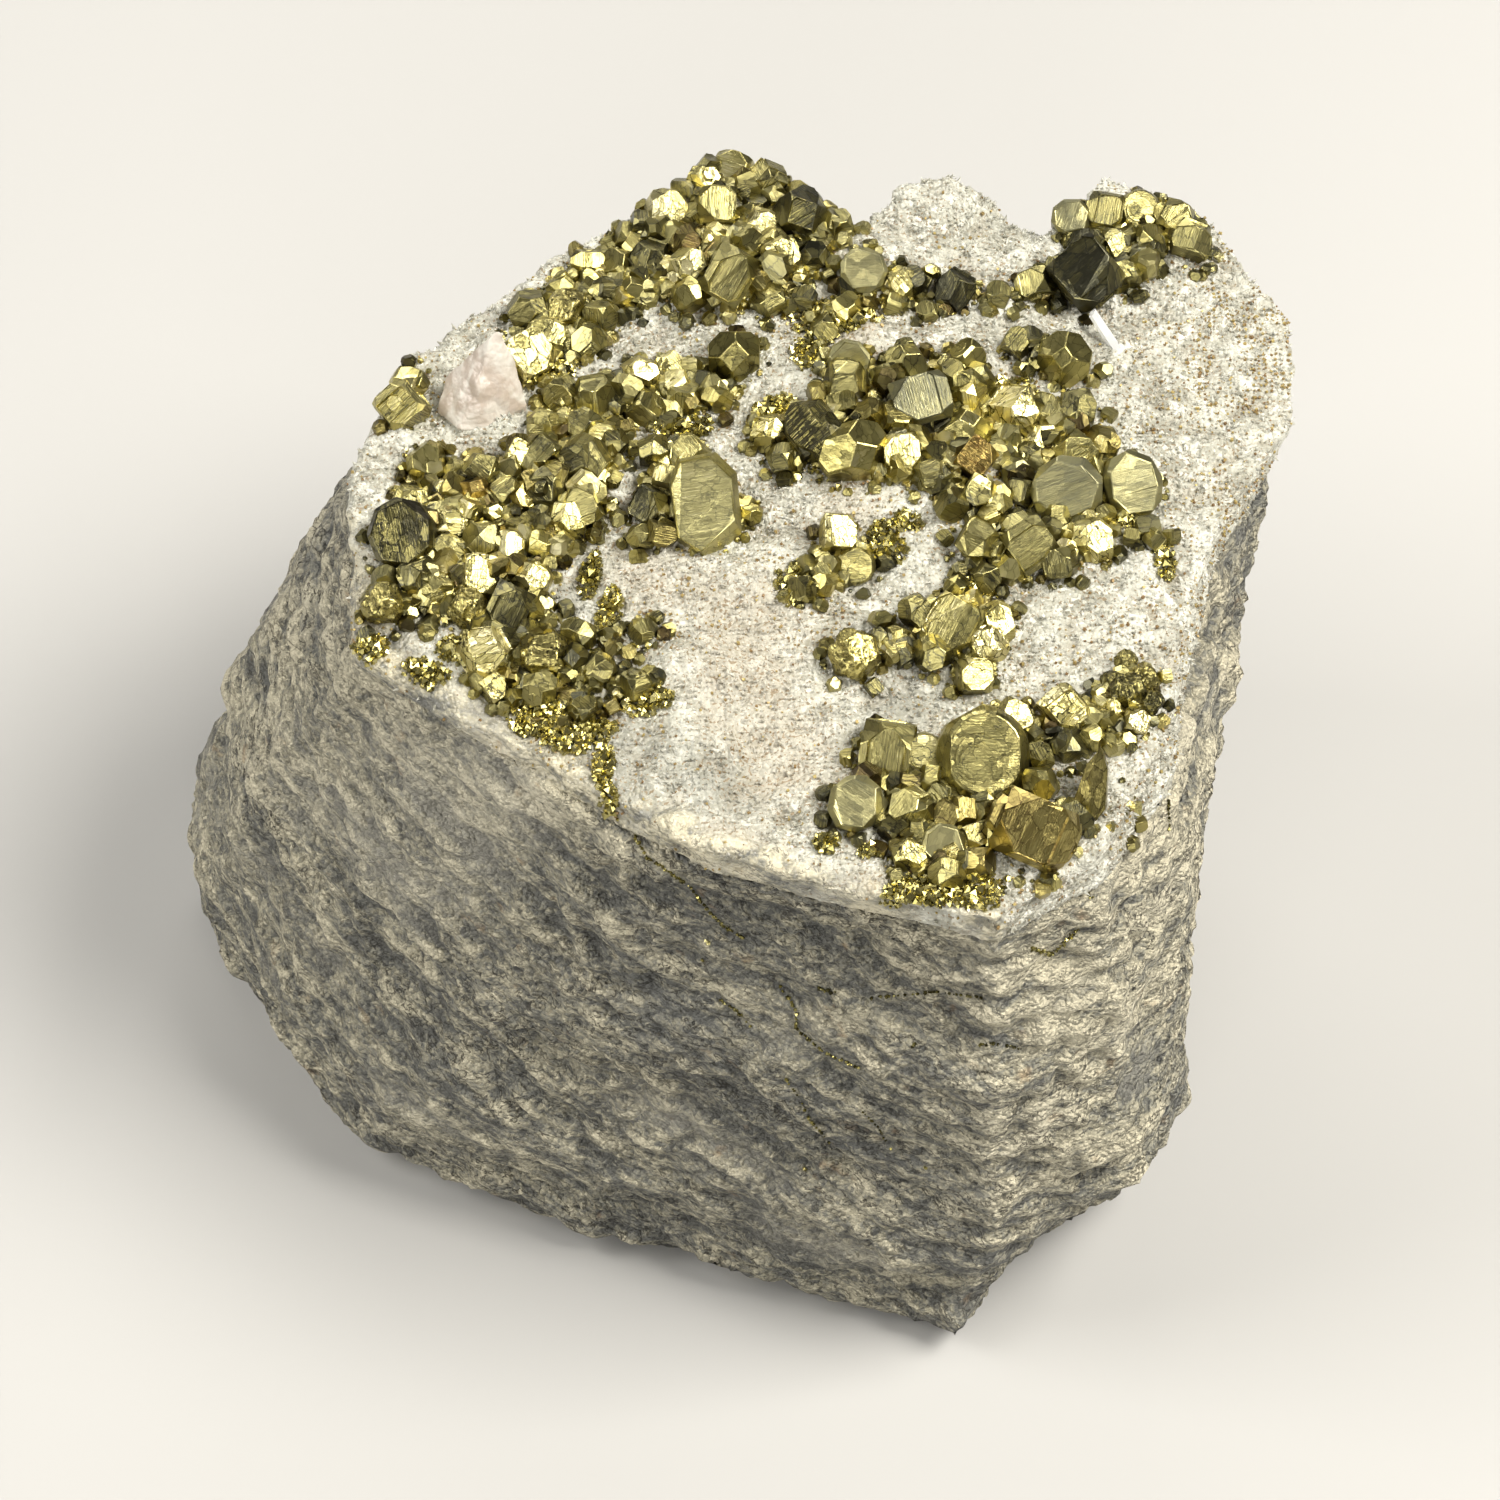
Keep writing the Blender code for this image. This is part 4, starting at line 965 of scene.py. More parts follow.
# The crest: the densest growth of pyrite, piled along the back of the crust and over its edge.
# Cubes with bright tops, dark lined crystals and octahedral ones, all grown together.
CREST_CRYSTALS = [
    (-7.2, 34.0, 4.4, "C", "bright"), (-4.0, 37.2, 3.2, "O", "bright"), (-1.5, 38.6, 3.6, "C", "gold"),
    (1.3, 37.0, 3.8, "P", "lined"), (4.0, 36.6, 3.0, "C", "lined"), (6.4, 35.2, 3.0, "P", "dark"),
    (-2.7, 34.0, 4.0, "C", "lined"), (0.4, 34.4, 3.2, "O", "dark"), (-3.0, 31.0, 3.2, "P", "bright"),
    (1.0, 31.8, 3.8, "C", "bright"), (4.6, 32.4, 5.4, "O", "dark", (0, -5, 30)), (7.6, 31.8, 2.8, "C", "plain"),
    (-8.4, 29.0, 4.2, "P", "dark", (-15, 0, 70)), (-5.4, 27.8, 3.8, "O", "bright"),
    (-1.8, 26.2, 5.6, "C", "lined", (4, -4, 60)), (-5.0, 24.8, 3.6, "P", "gold"), (2.6, 28.2, 3.6, "C", "bright"),
    (5.4, 28.6, 2.8, "O", "dark"), (-11.0, 29.0, 3.2, "C", "gold"), (-12.4, 26.2, 2.8, "P", "dark"),
    (1.6, 24.0, 3.2, "P", "plain"), (-9.8, 26.0, 2.6, "O", "gold"), (-10.6, 32.4, 2.6, "C", "plain"),
    (-13.8, 29.4, 3.0, "P", "gold"), (-16.0, 26.8, 3.2, "P", "gold"), (-15.4, 23.6, 3.8, "C", "rough"),
    (-12.6, 22.6, 3.2, "C", "plain"), (-18.6, 23.6, 3.6, "O", "plain"), (-17.0, 20.8, 4.0, "P", "bright"),
    (-13.6, 20.0, 3.0, "O", "plain"), (-18.8, 18.4, 5.0, "C", "bright"), (4.6, 24.2, 2.6, "C", "dark"),
]
pyrite_piece("pyrite_crest", CREST_CRYSTALS, 11, 1.9)


# The flank: pyrite all over the left of the crust, in crystals of 3 to 6 mm that run down to the
# front left edge, the largest of them a dark, round, lined one at that edge.
FLANK_CRYSTALS = [
    (-1.2, 17.6, 4.8, "O", "gold", (0, -6, 0)), (-6.6, 17.4, 3.0, "P", "bright"), (-9.0, 16.6, 3.2, "O", "bright"),
    (-12.8, 13.8, 4.6, "P", "lined"), (-15.8, 14.4, 3.2, "C", "plain"), (-8.8, 13.0, 3.4, "C", "lined"),
    (-5.6, 14.2, 3.0, "C", "plain"), (-2.8, 13.4, 2.8, "P", "gold"), (-13.6, 10.4, 3.2, "C", "plain"),
    (-17.2, 7.6, 3.8, "C", "lined"), (-17.0, 11.0, 3.0, "P", "plain"), (-11.4, 9.0, 2.8, "O", "dark"),
    (-13.6, 6.6, 4.4, "P", "plain"), (-22.2, 5.9, 4.0, "P", "plain"), (-19.2, 7.4, 2.8, "C", "bright"),
    (-26.6, 7.2, 3.6, "O", "gold"), (-22.6, 3.4, 3.0, "O", "orange"), (-24.8, 3.8, 2.8, "C", "bright"),
    (-27.6, 3.0, 3.0, "P", "bright"), (-17.0, 3.8, 3.6, "O", "dark"),
    (-13.6, 2.2, 4.2, "C", "lined", (-10, 0, 20)), (-14.8, 1.0, 3.6, "O", "bright"),
    (-20.0, 3.6, 2.6, "C", "plain"), (-24.6, 0.2, 3.0, "P", "bright"), (-17.2, -1.4, 2.8, "P", "gold"),
    (-19.6, -1.8, 2.8, "C", "bright"), (-21.8, -1.8, 3.6, "O", "lined"), (-24.6, -2.4, 3.2, "C", "plain"),
    (-28.2, -1.6, 6.2, "P", "darkplate", (-4, 2, 100)), (-27.0, -5.2, 3.4, "O", "dark"),
    (-29.6, -7.6, 4.0, "C", "rough"), (-25.4, -6.0, 2.8, "C", "lined"), (-22.8, -8.2, 3.8, "P", "rough"),
    (-22.0, -5.0, 4.0, "C", "bright"), (-19.4, -8.0, 4.4, "C", "dark", (2, -4, 65)),
    (-17.6, -5.2, 3.4, "O", "bright"), (-21.3, -12.6, 4.4, "P", "cracked", (6, 10, 30)),
    (-18.0, -10.8, 3.2, "C", "dark"), (-16.4, -12.6, 4.6, "C", "rough", (0, 4, 0)),
    (-20.6, -15.6, 2.8, "C", "bright"), (-16.8, -15.8, 3.6, "O", "plain"), (-13.8, -10.6, 3.2, "P", "plain"),
    (-13.4, -17.6, 2.6, "C", "plain"), (-12.0, -14.0, 2.8, "P", "plain"), (-9.2, -15.6, 2.6, "C", "plain"),
    (-8.6, -10.0, 2.8, "P", "plain"),
]
pyrite_piece("pyrite_flank", FLANK_CRYSTALS, 12, 1.9)


# The rim: two lined crystals on the left edge, behind the quartz point.
# They are pyrite grown on the very edge of the crust.
RIM_CRYSTALS = [
    (-29.0, 12.6, 4.2, "C", "fan", (-14, 6, 40)), (-28.4, 15.2, 3.4, "P", "gold"),
]
pyrite_piece("pyrite_rim", RIM_CRYSTALS, 13)


# The striated crystal: a single large grey-gold crystal near the middle, its broad face lined by
# nearly level growth steps, with small ones at its back and left.
STRIATED_CRYSTAL_CRYSTALS = [
    (-3.6, 1.4, 6.6, "P", "broad", (-6, 2, 8)), (-8.2, 2.6, 3.6, "C", "dark", (-20, -6, 60)),
    (-8.8, -0.6, 2.6, "P", "plain"), (-5.0, 7.4, 3.4, "C", "lined"), (-8.0, 7.8, 3.4, "P", "plain"),
    (0.2, 2.0, 2.0, "O", "gold"),
]
pyrite_piece("pyrite_striated_crystal", STRIATED_CRYSTAL_CRYSTALS, 14)


# The centre: a crowded patch right of the middle, with a large dark gold crystal, a blue-grey double
# one, cubes with cracked bright tops, and two flat grey plates at its front.
CENTRE_CRYSTALS = [
    (1.8, 9.6, 3.6, "O", "cracked"), (2.8, 7.0, 3.0, "P", "plain"), (5.4, 9.0, 5.8, "P", "flame", (-26, 12, 38)),
    (8.6, 6.2, 5.8, "O", "gold", (20, -16, 30)), (14.2, 12.2, 5.6, "C", "blue", (0, 2, 105)),
    (8.3, 17.4, 3.8, "C", "grey", (0, -6, 20)), (8.0, 14.4, 4.2, "P", "lined"), (4.4, 11.6, 2.6, "C", "gold"),
    (13.2, 16.8, 3.6, "O", "plain"), (18.2, 17.6, 3.0, "C", "gold"), (18.0, 13.8, 3.4, "P", "gold"),
    (17.8, 9.6, 4.2, "O", "gold"), (12.4, 6.8, 3.8, "C", "bright", (6, 8, 95)),
    (14.8, 4.8, 3.4, "P", "lined", (4, 0, 20)), (18.6, 6.2, 4.0, "C", "orange"), (22.2, 11.8, 4.8, "O", "cracked"),
    (24.6, 12.2, 3.2, "C", "lined"), (27.2, 12.4, 3.8, "P", "plain"), (24.0, 9.2, 3.0, "O", "bright"),
    (27.0, 8.0, 4.4, "C", "lined", (8, 0, 40)), (26.0, 3.6, 5.8, "O", "grey", (-4, 2, 20)),
    (31.4, 4.6, 5.6, "O", "grey", (6, 2, 15)), (18.8, 3.0, 3.4, "C", "plain"), (18.6, -1.8, 4.6, "P", "lined"),
    (22.8, -2.2, 5.2, "C", "lined", (0, -6, 35)), (25.2, -3.6, 3.2, "C", "lined"),
    (28.0, -1.2, 3.8, "O", "bright"), (19.2, -4.8, 2.8, "P", "plain"), (33.0, -0.8, 2.0, "C", "lined"),
]
pyrite_piece("pyrite_centre", CENTRE_CRYSTALS, 15, 1.4)


# The back row: a loose line of pyrite crystals between the crest and the corner.
# The left one has a flat grey top.
BACK_ROW_CRYSTALS = [
    (9.6, 26.6, 4.4, "C", "grey", (0, 10, 0)), (12.8, 25.8, 3.2, "P", "bright"),
    (17.2, 25.6, 4.4, "P", "dark", (4, 0, 60)), (15.0, 23.0, 2.4, "C", "plain"), (8.0, 23.4, 2.8, "P", "gold"),
    (6.4, 21.6, 2.4, "C", "plain"), (21.0, 25.4, 2.8, "P", "plain"),
]
pyrite_piece("pyrite_back_row", BACK_ROW_CRYSTALS, 16, 1.4)


# The wedge: one wedge-shaped gold crystal with two small ones, beside the clear quartz needle.
# It is pyrite like the rest, grown apart from the other groups.
WEDGE_CRYSTALS = [
    (26.4, 18.2, 5.0, "O", "gold", (-6, 0, 80)), (22.6, 19.8, 2.8, "C", "plain"), (24.4, 18.6, 2.4, "C", "dark"),
]
pyrite_piece("pyrite_wedge", WEDGE_CRYSTALS, 17)


# The corner: lined and stepped crystals standing on the back right corner, a large dark one in front.
# They lean over the crust's edge.
CORNER_CRYSTALS = [
    (27.6, 34.6, 3.6, "O", "grey", (-4, 8, 70)), (30.4, 35.2, 3.8, "C", "lined", (-2, 4, 80)),
    (33.4, 35.4, 4.2, "P", "round", (4, 2, 0)), (36.4, 34.4, 3.8, "C", "lined", (10, 6, 60)),
    (37.6, 31.8, 4.2, "P", "lined", (10, -4, 70)), (34.2, 32.4, 3.2, "C", "gold"),
    (31.2, 31.6, 3.0, "C", "bright"), (28.4, 27.8, 6.6, "C", "dark", (-4, 0, 40)), (31.6, 28.6, 3.6, "P", "plain"),
    (24.2, 26.8, 3.2, "C", "lined"), (28.8, 31.4, 3.8, "P", "dark"),
]
pyrite_piece("pyrite_corner", CORNER_CRYSTALS, 18, 1.5)


# The island: a clump on bare crust, its middle one cut by steep bright and dark lines.
# Its right side catches the light.
ISLAND_CRYSTALS = [
    (8.4, -12.2, 4.4, "P", "rough"), (10.6, -11.2, 3.0, "C", "dark"), (16.4, -9.8, 5.6, "C", "fan", (-2, -2, 62)),
    (13.4, -8.4, 3.2, "P", "plain"), (14.6, -12.2, 3.4, "O", "plain"), (19.8, -9.4, 3.8, "O", "bright"),
    (19.0, -11.8, 3.8, "P", "cracked"), (17.8, -14.2, 3.4, "C", "bright"), (16.8, -6.0, 2.6, "P", "gold"),
]
pyrite_piece("pyrite_island", ISLAND_CRYSTALS, 19)


# The front: the largest crystals, at the front right edge: a round one built of stacked plates, a brown
# lined block and grey-green tablets, in a bed of fine pyrite.
FRONT_CRYSTALS = [
    (11.0, -21.6, 5.2, "C", "lined", (-8, -4, 82)), (13.8, -21.8, 4.4, "P", "greyround", (0, 6, 0)),
    (18.4, -22.8, 7.6, "P", "round", (2, 2, 0)), (20.8, -18.8, 3.8, "C", "bright"),
    (8.3, -27.2, 4.6, "C", "grey", (-4, 4, 150)), (12.6, -27.4, 3.8, "O", "lined"),
    (15.2, -26.4, 3.4, "P", "lined"), (15.1, -31.0, 3.8, "C", "grey", (4, 2, 62)),
    (17.7, -30.0, 2.8, "C", "bright"), (12.4, -31.8, 2.8, "O", "bright"),
    (22.3, -30.2, 7.2, "C", "brown", (2, -2, 66)), (15.4, -33.8, 3.2, "P", "plain"),
    (24.8, -17.8, 4.4, "C", "cracked", (6, 10, 40)), (27.0, -18.6, 2.8, "O", "lined"),
    (30.2, -16.2, 3.2, "P", "darkrough"), (28.9, -15.0, 2.2, "O", "darkrough"), (31.6, -14.9, 2.4, "P", "rough"),
    (32.0, -17.2, 2.2, "C", "darkrough"), (29.0, -17.6, 2.3, "P", "rough"), (30.7, -19.0, 2.6, "C", "cracked"),
    (30.2, -13.2, 2.2, "P", "darkrough"), (26.9, -26.4, 6.4, "C", "blade", (-12, -4, 78)),
]
pyrite_piece("pyrite_front", FRONT_CRYSTALS, 20, 1.4)


# The pair: a cube with a bright top and a round grey-green crystal, alone near the middle.
# Both are grown straight on the white crust.
PAIR_CRYSTALS = [
    (7.2, -1.4, 3.6, "C", "bright"), (8.6, -3.6, 3.6, "P", "round", (2, -4, 0)), (4.2, -6.0, 2.4, "C", "lined"),
    (6.0, -4.4, 2.4, "P", "lined"),
]
pyrite_piece("pyrite_pair", PAIR_CRYSTALS, 21)


# The quartz point: one broken point of milky, faintly pink quartz that stands among the pyrite at
# the left, rising to the right, with cracks and white veils inside it. Grown on the crust.
# corners: where the photograph's reading gives them, and how high over the crust
POINT_CORNERS = [(-20.6, 15.2, 7.3), (-21.3, 15.1, 7.2), (-19.4, 14.6, 4.7), (-18.5, 13.1, 0.6), (-20.9, 11.1, 0.4),
                 (-22.0, 10.5, 0.3), (-24.3, 10.5, 0.5), (-26.1, 12.7, 0.4), (-25.4, 14.8, 2.4), (-22.2, 14.6, 5.2),
                 (-24.3, 16.0, 0.0), (-19.9, 16.6, 0.0), (-22.6, 12.1, 3.6), (-20.6, 12.6, 3.4),
                 (-25.6, 12.4, -1.6), (-22.8, 11.0, -1.6), (-19.2, 13.2, -1.6), (-20.4, 16.0, -1.6), (-24.0, 15.6, -1.6)]
POINT_GRID, POINT_LUMPS, POINT_CHIPS = 0.22, 0.14, 0.34


def point_relief(point, normal):
    """Broken, slightly stepped faces."""
    near = noise.voronoi(point / 2.4)[0]
    chip = near[1] - near[0] - 0.3
    return POINT_CHIPS * chip + POINT_LUMPS * noise.noise(point / 1.7) * 0.8, chip


point_foot, _ = crust_at(-22.4, 12.6)
point_mesh = bpy.data.meshes.new("milky_point")
point_mesh.from_pydata([(Vector((x, y, point_foot.z + z)) + MIDDLE) * MM for x, y, z in POINT_CORNERS], [], [])
point = bpy.data.objects.new("milky_point", point_mesh)
bpy.context.scene.collection.objects.link(point)
bpy.ops.object.select_all(action="DESELECT")
bpy.context.view_layer.objects.active = point
point.select_set(True)
bpy.ops.object.mode_set(mode="EDIT")
bpy.ops.mesh.select_all(action="SELECT")
bpy.ops.mesh.convex_hull()
bpy.ops.object.mode_set(mode="OBJECT")
carved(rebuilt(point, POINT_GRID), point_relief, "veils")


def milky_quartz():
    """Milky quartz, pink where it is thin and white at its veils."""
    material = bpy.data.materials.new("milky_quartz")
    material.use_nodes = True
    tree = material.node_tree
    shader = tree.nodes["Principled BSDF"]
    place = node(tree, "TexCoord").outputs["Object"]
    veils = stretched_noise(tree, place, (420, 420, 260), 4.0, 0.65, 0.6)
    colour = blend_of(tree, ranged(tree, veils, 0.42, 0.60), (0.480, 0.405, 0.335), (0.660, 0.620, 0.545))
    grain = tree.nodes.new("ShaderNodeGroup")
    grain.node_tree = grain_tree
    grain.inputs["Fine"].default_value, grain.inputs["Coarse"].default_value = 0.3, 0.8
    bump = node(tree, "Bump", in_Strength=0.35, in_Distance=0.0003)
    join(tree, (colour, shader.inputs["Base Color"]), (grain.outputs["Height"], bump.inputs["Height"]),
         (bump.outputs["Normal"], shader.inputs["Normal"]),
         (ranged(tree, veils, 0.40, 0.62, 0.28, 0.50), shader.inputs["Roughness"]))
    shader.inputs["Transmission Weight"].default_value = 0.12
    shader.inputs["IOR"].default_value = 1.54
    return material


point.data.materials.append(milky_quartz())
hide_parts("quartz_point")
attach(point, "root")


# The needle: one clear, six-sided quartz prism lying over the crust at the right. Its CAD solid has
# its shape, so it stays and gets clear quartz.
clear_quartz = bpy.data.materials.new("clear_quartz")
clear_quartz.use_nodes = True
needle_shader = clear_quartz.node_tree.nodes["Principled BSDF"]
needle_place = node(clear_quartz.node_tree, "TexCoord").outputs["Object"]
needle_veil = stretched_noise(clear_quartz.node_tree, needle_place, (900, 900, 500), 3.0, 0.6)
join(clear_quartz.node_tree,
     (blend_of(clear_quartz.node_tree, needle_veil, (0.93, 0.94, 0.93), (1.0, 1.0, 1.0)), needle_shader.inputs["Base Color"]),
     (ranged(clear_quartz.node_tree, needle_veil, 0.4, 0.7, 0.03, 0.30), needle_shader.inputs["Roughness"]))
needle_shader.inputs["Transmission Weight"].default_value = 0.5
needle_shader.inputs["IOR"].default_value = 1.54
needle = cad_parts["quartz_needle"]
for slot_index in range(len(needle.material_slots)):
    needle.material_slots[slot_index].material = clear_quartz


# The druse: thousands of quartz points under a millimetre long that stand on the crust and make it
# look like sugar. They are the crust's own crystals, white, some of them clear.
DRUSE_POINTS, DRUSE_LENGTHS, DRUSE_WIDTH_SHARE = 23000, (0.22, 0.60), 0.60
# a four-sided point: its foot a unit wide, its tip a unit up, the foot sunk a third of that
SPIKE = ([(-0.5, -0.5, -0.35), (0.5, -0.5, -0.35), (0.5, 0.5, -0.35), (-0.5, 0.5, -0.35), (0.12, 0.05, 1.0)],
         [(3, 2, 1, 0), (0, 1, 4), (1, 2, 4), (2, 3, 4), (3, 0, 4)])
NUGGET = ([(0.55, 0, 0), (-0.5, 0, 0), (0, 0.5, 0), (0, -0.55, 0), (0, 0, 0.5), (0, 0, -0.5)],
          [(0, 2, 4), (2, 1, 4), (1, 3, 4), (3, 0, 4), (2, 0, 5), (1, 2, 5), (3, 1, 5), (0, 3, 5)])
GRAIN = ([(-0.5, -0.5, -0.5), (0.5, -0.5, -0.5), (0.5, 0.5, -0.5), (-0.5, 0.5, -0.5),
          (-0.5, -0.5, 0.5), (0.5, -0.5, 0.5), (0.5, 0.5, 0.5), (-0.5, 0.5, 0.5)],
         [(3, 2, 1, 0), (4, 5, 6, 7), (0, 1, 5, 4), (1, 2, 6, 5), (2, 3, 7, 6), (3, 0, 4, 7)])


def strewn(name, shape, settings):
    """One mesh of many copies of a small shape; settings are each copy's place, turn, sizes and tone."""
    corners, faces = [], []
    tones = []
    for at, turn, sizes, tone in settings:
        first = len(corners)
        corners += [(at + turn @ Vector([c * s for c, s in zip(corner, sizes)])) * MM for corner in shape[0]]
        faces += [[first + i for i in face] for face in shape[1]]
        tones += [tone] * len(shape[1])
    mesh = bpy.data.meshes.new(name)
    mesh.from_pydata(corners, [], faces)
    layer = mesh.attributes.new("tone", "FLOAT", "FACE")
    layer.data.foreach_set("value", tones)
    piece = bpy.data.objects.new(name, mesh)
    bpy.context.scene.collection.objects.link(piece)
    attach(piece, "root")
    return piece


def spots_on_crust(count, chance, wanted):
    """Places on the crust's upper faces, with the way each faces; wanted(place) is how likely one is kept."""
    upper = [p for p in crust.data.polygons if p.normal.z > 0.15 and p.center.z > 0.03]
    spots = []
    while len(spots) < count:
        face = chance.choice(upper)
        at = face.center / MM + Vector([chance.uniform(-0.25, 0.25) for _ in range(3)]) * CRUST_GRID
        if chance.random() < wanted(at):
            spots.append((at, face.normal.copy()))
    return spots


def spikes(count, chance):
    for at, normal in spots_on_crust(count, chance, lambda p: 1.0 if past_white_edge(p.x - MIDDLE.x, p.y - MIDDLE.y) < -0.6 else 0.04):
        lean = Vector([chance.uniform(-0.8, 0.8) for _ in range(3)])
        turn = (normal + lean).to_track_quat("Z", "Y").to_matrix()
        length = chance.uniform(*DRUSE_LENGTHS) * (0.55 + 0.45 * chance.random())
        width = length * DRUSE_WIDTH_SHARE * chance.uniform(0.7, 1.3)
        yield at, turn @ Matrix.Rotation(chance.uniform(0, 1.57), 3, "Z"), (width, width, length), chance.random()


druse = strewn("quartz_druse", SPIKE, spikes(DRUSE_POINTS, random.Random(31)))
crust_zones(druse)
druse.data.materials.append(white_quartz("white_quartz_points", True))


# The specks: loose pyrite grains of a few tenths of a millimetre that sit all over the crust, in
# drifts between the groups and in olive-brown patches at its right.
SPECKS, SPECK_SIZES = 4800, (0.09, 0.24)
CLEAN_SPOTS = [(14.0, 33.0, 6.0), (-21.0, -19.0, 4.0)]  # where there are almost none: the white knob at the back


def speck_chance(at):
    """Specks lie in drifts, and thickest in patches at the right and back."""
    drift = noise.noise(at / 5.5) + 0.35 * noise.noise(at / 1.6)
    right = max(0.0, min(1.0, (at.x - 33) / 9)) * (1.0 if noise.noise(at / 3.1 + Vector((4, 7, 1))) > -0.02 else 0.05)
    knob = near_spots(CLEAN_SPOTS, at.x - MIDDLE.x, at.y - MIDDLE.y)
    return max(0.04, 0.5 * drift + 0.1, right) * (1.0 - 0.9 * knob)


def specks(count, chance):
    for at, normal in spots_on_crust(count, chance, speck_chance):
        size = chance.uniform(*SPECK_SIZES) * (0.6 + 0.4 * chance.random())
        turn = Euler([chance.uniform(0, math.tau) for _ in range(3)]).to_matrix()
        yield at + normal * size * 0.6, turn, (size, size, size * chance.uniform(0.7, 1.3)), chance.uniform(0.08, 0.62)


def brown_grit():
    """Tarnished grains: from rust brown to dull gold."""
    material = bpy.data.materials.new("brown_grit")
    material.use_nodes = True
    tree = material.node_tree
    shader = tree.nodes["Principled BSDF"]
    tone = node(tree, "Attribute", attribute_name="tone").outputs["Fac"]
    join(tree, (blend_of(tree, ranged(tree, tone, 0.1, 0.6), (0.200, 0.120, 0.050), (0.420, 0.330, 0.120)),
                shader.inputs["Base Color"]))
    shader.inputs["Metallic"].default_value = 0.35
    shader.inputs["Roughness"].default_value = 0.45
    return material


speck_piece = strewn("pyrite_specks", GRAIN, specks(SPECKS, random.Random(32)))
speck_piece.data.materials.append(brown_grit())


# Fine-grained pyrite: patches of crystals under a millimetre, packed like coarse sand beside the
# groups and in a tail that hangs over the front left edge of the crust.
FINE_SIZES, FINE_MANY = (0.35, 0.95), 2.3
# x, y, half its length, half its width, how its length turns in degrees, how many grains
FINE_PATCHES = [
    (7.5, 23.0, 4.2, 2.2, 10, 170), (-17.3, -18.0, 2.2, 1.8, 0, 90), (-14.8, -20.0, 2.4, 1.8, -30, 110),
    (-12.4, -19.3, 2.0, 1.4, 0, 60), (-11.6, -23.0, 0.9, 2.6, 0, 80), (-11.2, -26.2, 0.8, 1.6, 0, 45),
    (-13.0, -4.0, 0.9, 2.4, -10, 55), (-11.4, -7.6, 1.0, 2.4, -12, 60), (-26.0, -14.0, 2.2, 1.4, -30, 60),
    (-30.6, -11.3, 1.6, 1.8, 0, 60), (-8.2, -16.6, 2.2, 1.4, 10, 60), (11.3, -1.3, 1.7, 2.2, 0, 80),
    (3.9, -5.1, 2.0, 2.2, -20, 90), (18.5, -5.7, 2.2, 1.0, 10, 45), (33.9, -2.4, 0.9, 1.8, 0, 40),
    (13.5, -35.2, 3.2, 2.0, 8, 170), (17.6, -35.0, 2.2, 2.2, 0, 110), (6.0, -30.4, 1.1, 1.0, 0, 40),
    (9.4, -30.9, 1.1, 0.8, 0, 30), (10.6, -36.2, 1.4, 0.9, 10, 30), (26.1, -36.0, 0.5, 0.5, 0, 6),
    (2.0, 12.6, 2.0, 1.6, 20, 70), (5.0, 18.5, 1.6, 2.2, 0, 60), (-5.6, 10.8, 2.6, 1.4, 0, 70),
    (-17.0, 17.2, 3.0, 1.6, 20, 80), (13.0, 0.8, 1.2, 0.9, 0, 25), (-15.0, -17.6, 2.0, 1.2, 0, 60),
    (22.0, 15.4, 2.2, 1.4, 0, 60), (-23.6, -12.0, 1.8, 1.2, -20, 50), (31.0, 1.4, 1.8, 0.8, 10, 40),
]


def fine_grains(chance):
    for x, y, long_half, wide_half, turn_degrees, count in FINE_PATCHES:
        turned = Matrix.Rotation(math.radians(turn_degrees), 2)
        for _ in range(round(count * FINE_MANY)):
            angle, away = chance.uniform(0, math.tau), math.sqrt(chance.random())
            inside = turned @ Vector((math.cos(angle) * away * long_half, math.sin(angle) * away * wide_half))
            surface, normal = crust_at(x + inside.x, y + inside.y)
            if surface is None:
                continue
            size = chance.uniform(*FINE_SIZES) * (1.1 - 0.45 * away)
            turn = Euler([chance.uniform(0, math.tau) for _ in range(3)]).to_matrix()
            yield (surface + Vector((0, 0, size * chance.uniform(0.1, 0.8))), turn, (size, size, size),
                   chance.uniform(0.36, 0.68))


# The veins: films of gold and black pyrite grains in the cracks of the broken front, seen where the
# picture shows them: each vein's bends across and down the picture, in thousandths of its width.
VEIN_STEP, VEIN_SIZES = 0.30, (0.14, 0.42)
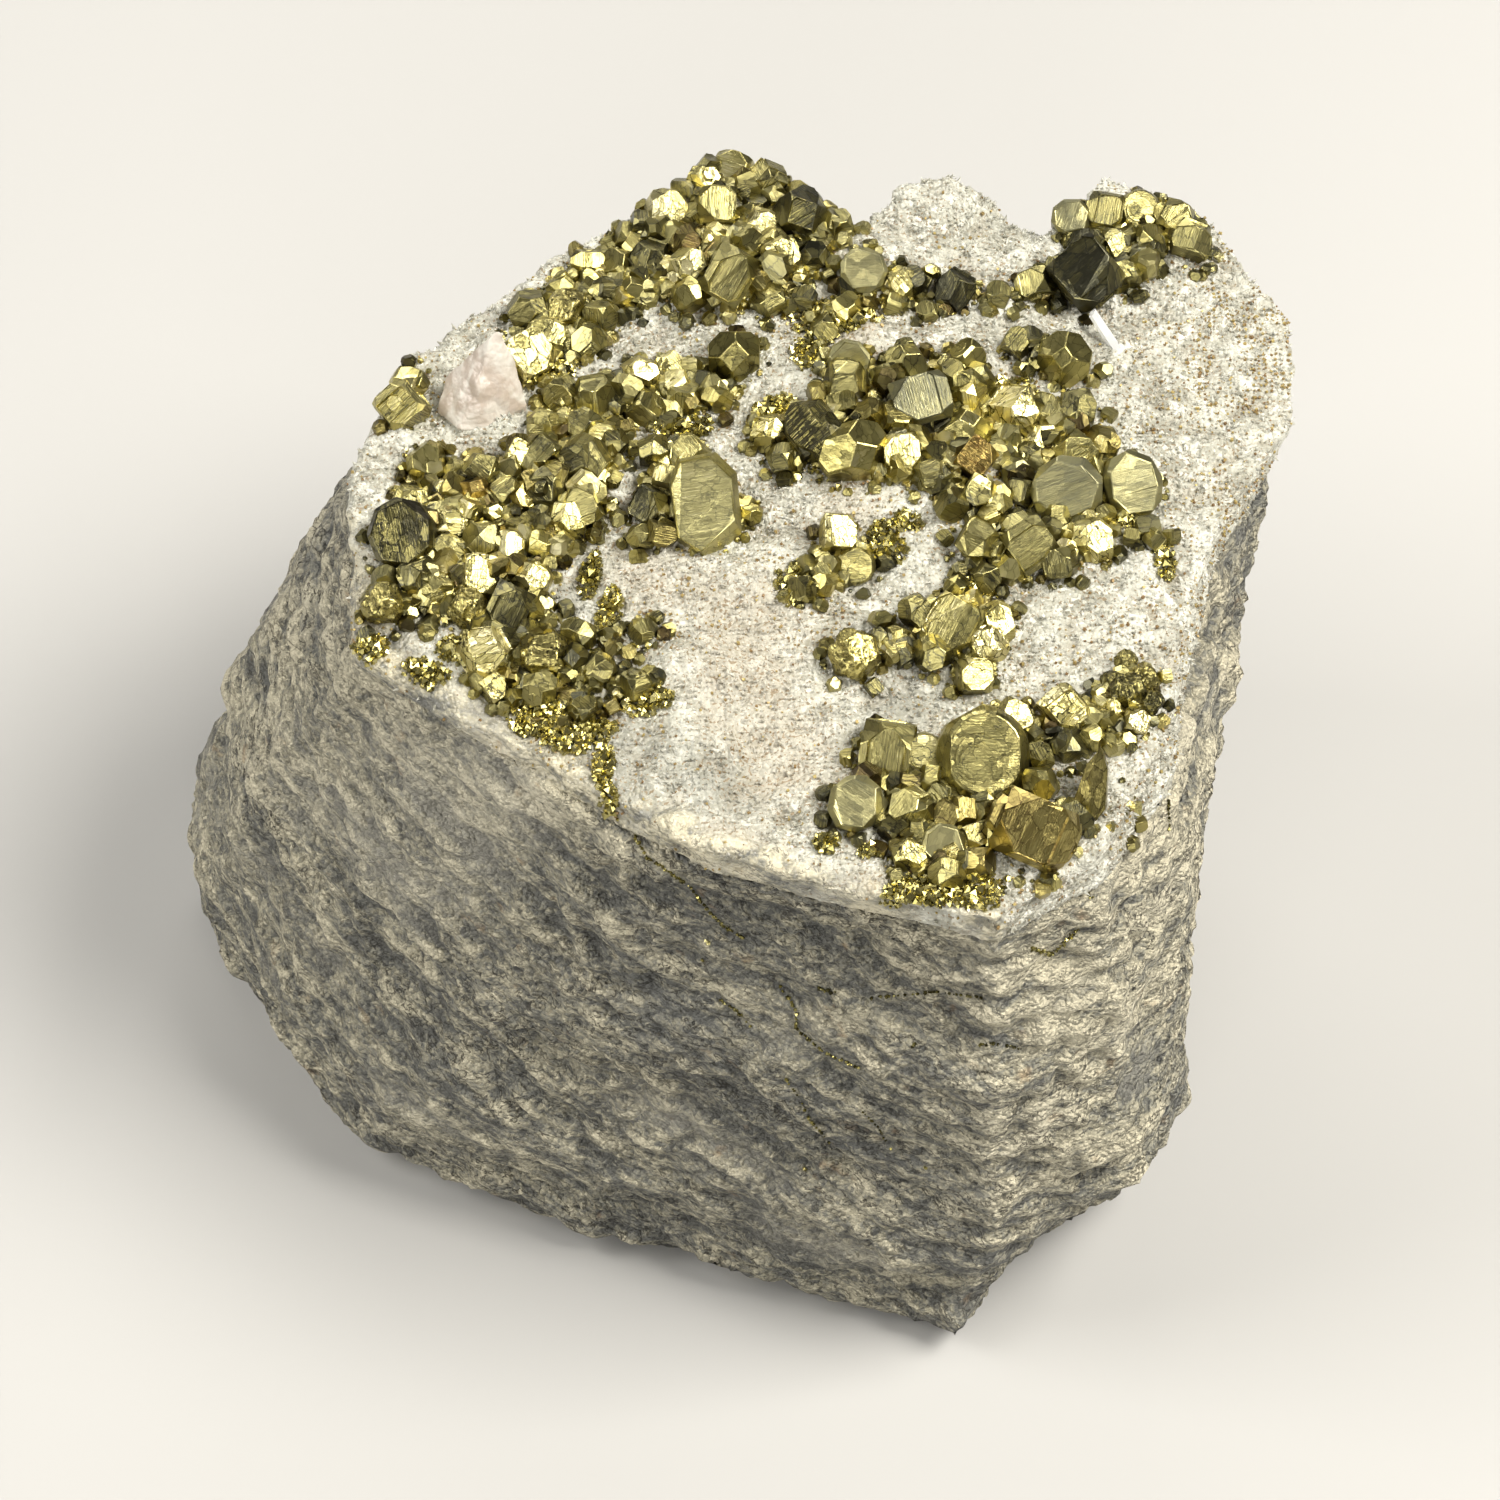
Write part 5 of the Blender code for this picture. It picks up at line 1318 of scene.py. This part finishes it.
# bends, how many grains at each step, how far they stray in mm, their tones
VEINS = [
    ([(420, 552), (431, 571), (443, 579), (461, 592), (470, 604), (482, 617), (499, 627)], 2, 0.35, (0.10, 0.50)),
    ([(480, 666), (493, 675), (501, 685)], 2, 0.40, (0.05, 0.30)),
    ([(519, 656), (532, 675), (530, 685), (549, 701), (573, 712)], 2, 0.35, (0.10, 0.55)),
    ([(523, 718), (534, 733), (538, 745), (553, 761)], 1, 0.25, (0.10, 0.45)),
    ([(545, 658), (557, 662)], 3, 0.60, (0.04, 0.20)), ([(575, 741), (585, 751), (595, 768)], 1, 0.15, (0.04, 0.25)),
    ([(579, 665), (605, 663), (623, 661), (656, 665)], 1, 0.25, (0.04, 0.25)),
    ([(653, 696), (666, 696), (681, 699)], 3, 0.45, (0.02, 0.16)), ([(607, 699), (611, 695)], 2, 0.30, (0.04, 0.30)),
    ([(720, 590), (727, 598)], 9, 0.70, (0.20, 0.60)), ([(687, 632), (700, 636), (712, 626), (720, 619)], 3, 0.80, (0.15, 0.50)),
    ([(779, 533), (779, 553)], 2, 0.20, (0.03, 0.20)), ([(751, 521), (756, 530), (755, 548)], 2, 0.20, (0.04, 0.20)),
    ([(471, 627), (473, 629)], 6, 0.30, (0.55, 0.80)), ([(617, 778), (618, 779)], 3, 0.20, (0.55, 0.80)),
    ([(536, 779), (537, 780)], 3, 0.20, (0.55, 0.80)), ([(468, 640), (469, 641)], 2, 0.2, (0.5, 0.7)),
]
rock_tree = BVHTree.FromPolygons([v.co / MM for v in rock.data.vertices], [p.vertices for p in rock.data.polygons])


def seen_on_rock(across, down):
    """The place on the rock, in mm, that the camera sees at a place of the picture."""
    focal = VIEW_LENS / 36.0
    ray = -EYE + EYE_RIGHT * (across / 1000 - 0.5) / focal + EYE_UP * (0.5 - down / 1000) / focal
    hit, normal, _, _ = rock_tree.ray_cast((AIM + EYE * VIEW_DISTANCE) / MM, ray.normalized())
    return hit, normal


def vein_grains(chance):
    for bends, many, stray, tones in VEINS:
        for start, end in zip(bends, bends[1:]):
            (first, _), (last, _) = seen_on_rock(*start), seen_on_rock(*end)
            if first is None or last is None:
                continue
            steps = max(2, round((last - first).length / VEIN_STEP))
            for n in range(steps * many):
                share = chance.random()
                across, down = (a + (b - a) * share for a, b in zip(start, end))
                at, normal = seen_on_rock(across + chance.gauss(0, stray), down + chance.gauss(0, stray))
                if at is None:
                    continue
                size = chance.uniform(*VEIN_SIZES)
                turn = Euler([chance.uniform(0, math.tau) for _ in range(3)]).to_matrix()
                yield at + normal * size * 0.15, turn, (size, size, size), chance.uniform(*tones)


vein_piece = strewn("pyrite_veins", NUGGET, vein_grains(random.Random(34)))
vein_piece.data.materials.append(PYRITE_FINISH)

fine_piece = strewn("fine_pyrite", NUGGET, fine_grains(random.Random(33)))
fine_piece.data.materials.append(PYRITE_FINISH)
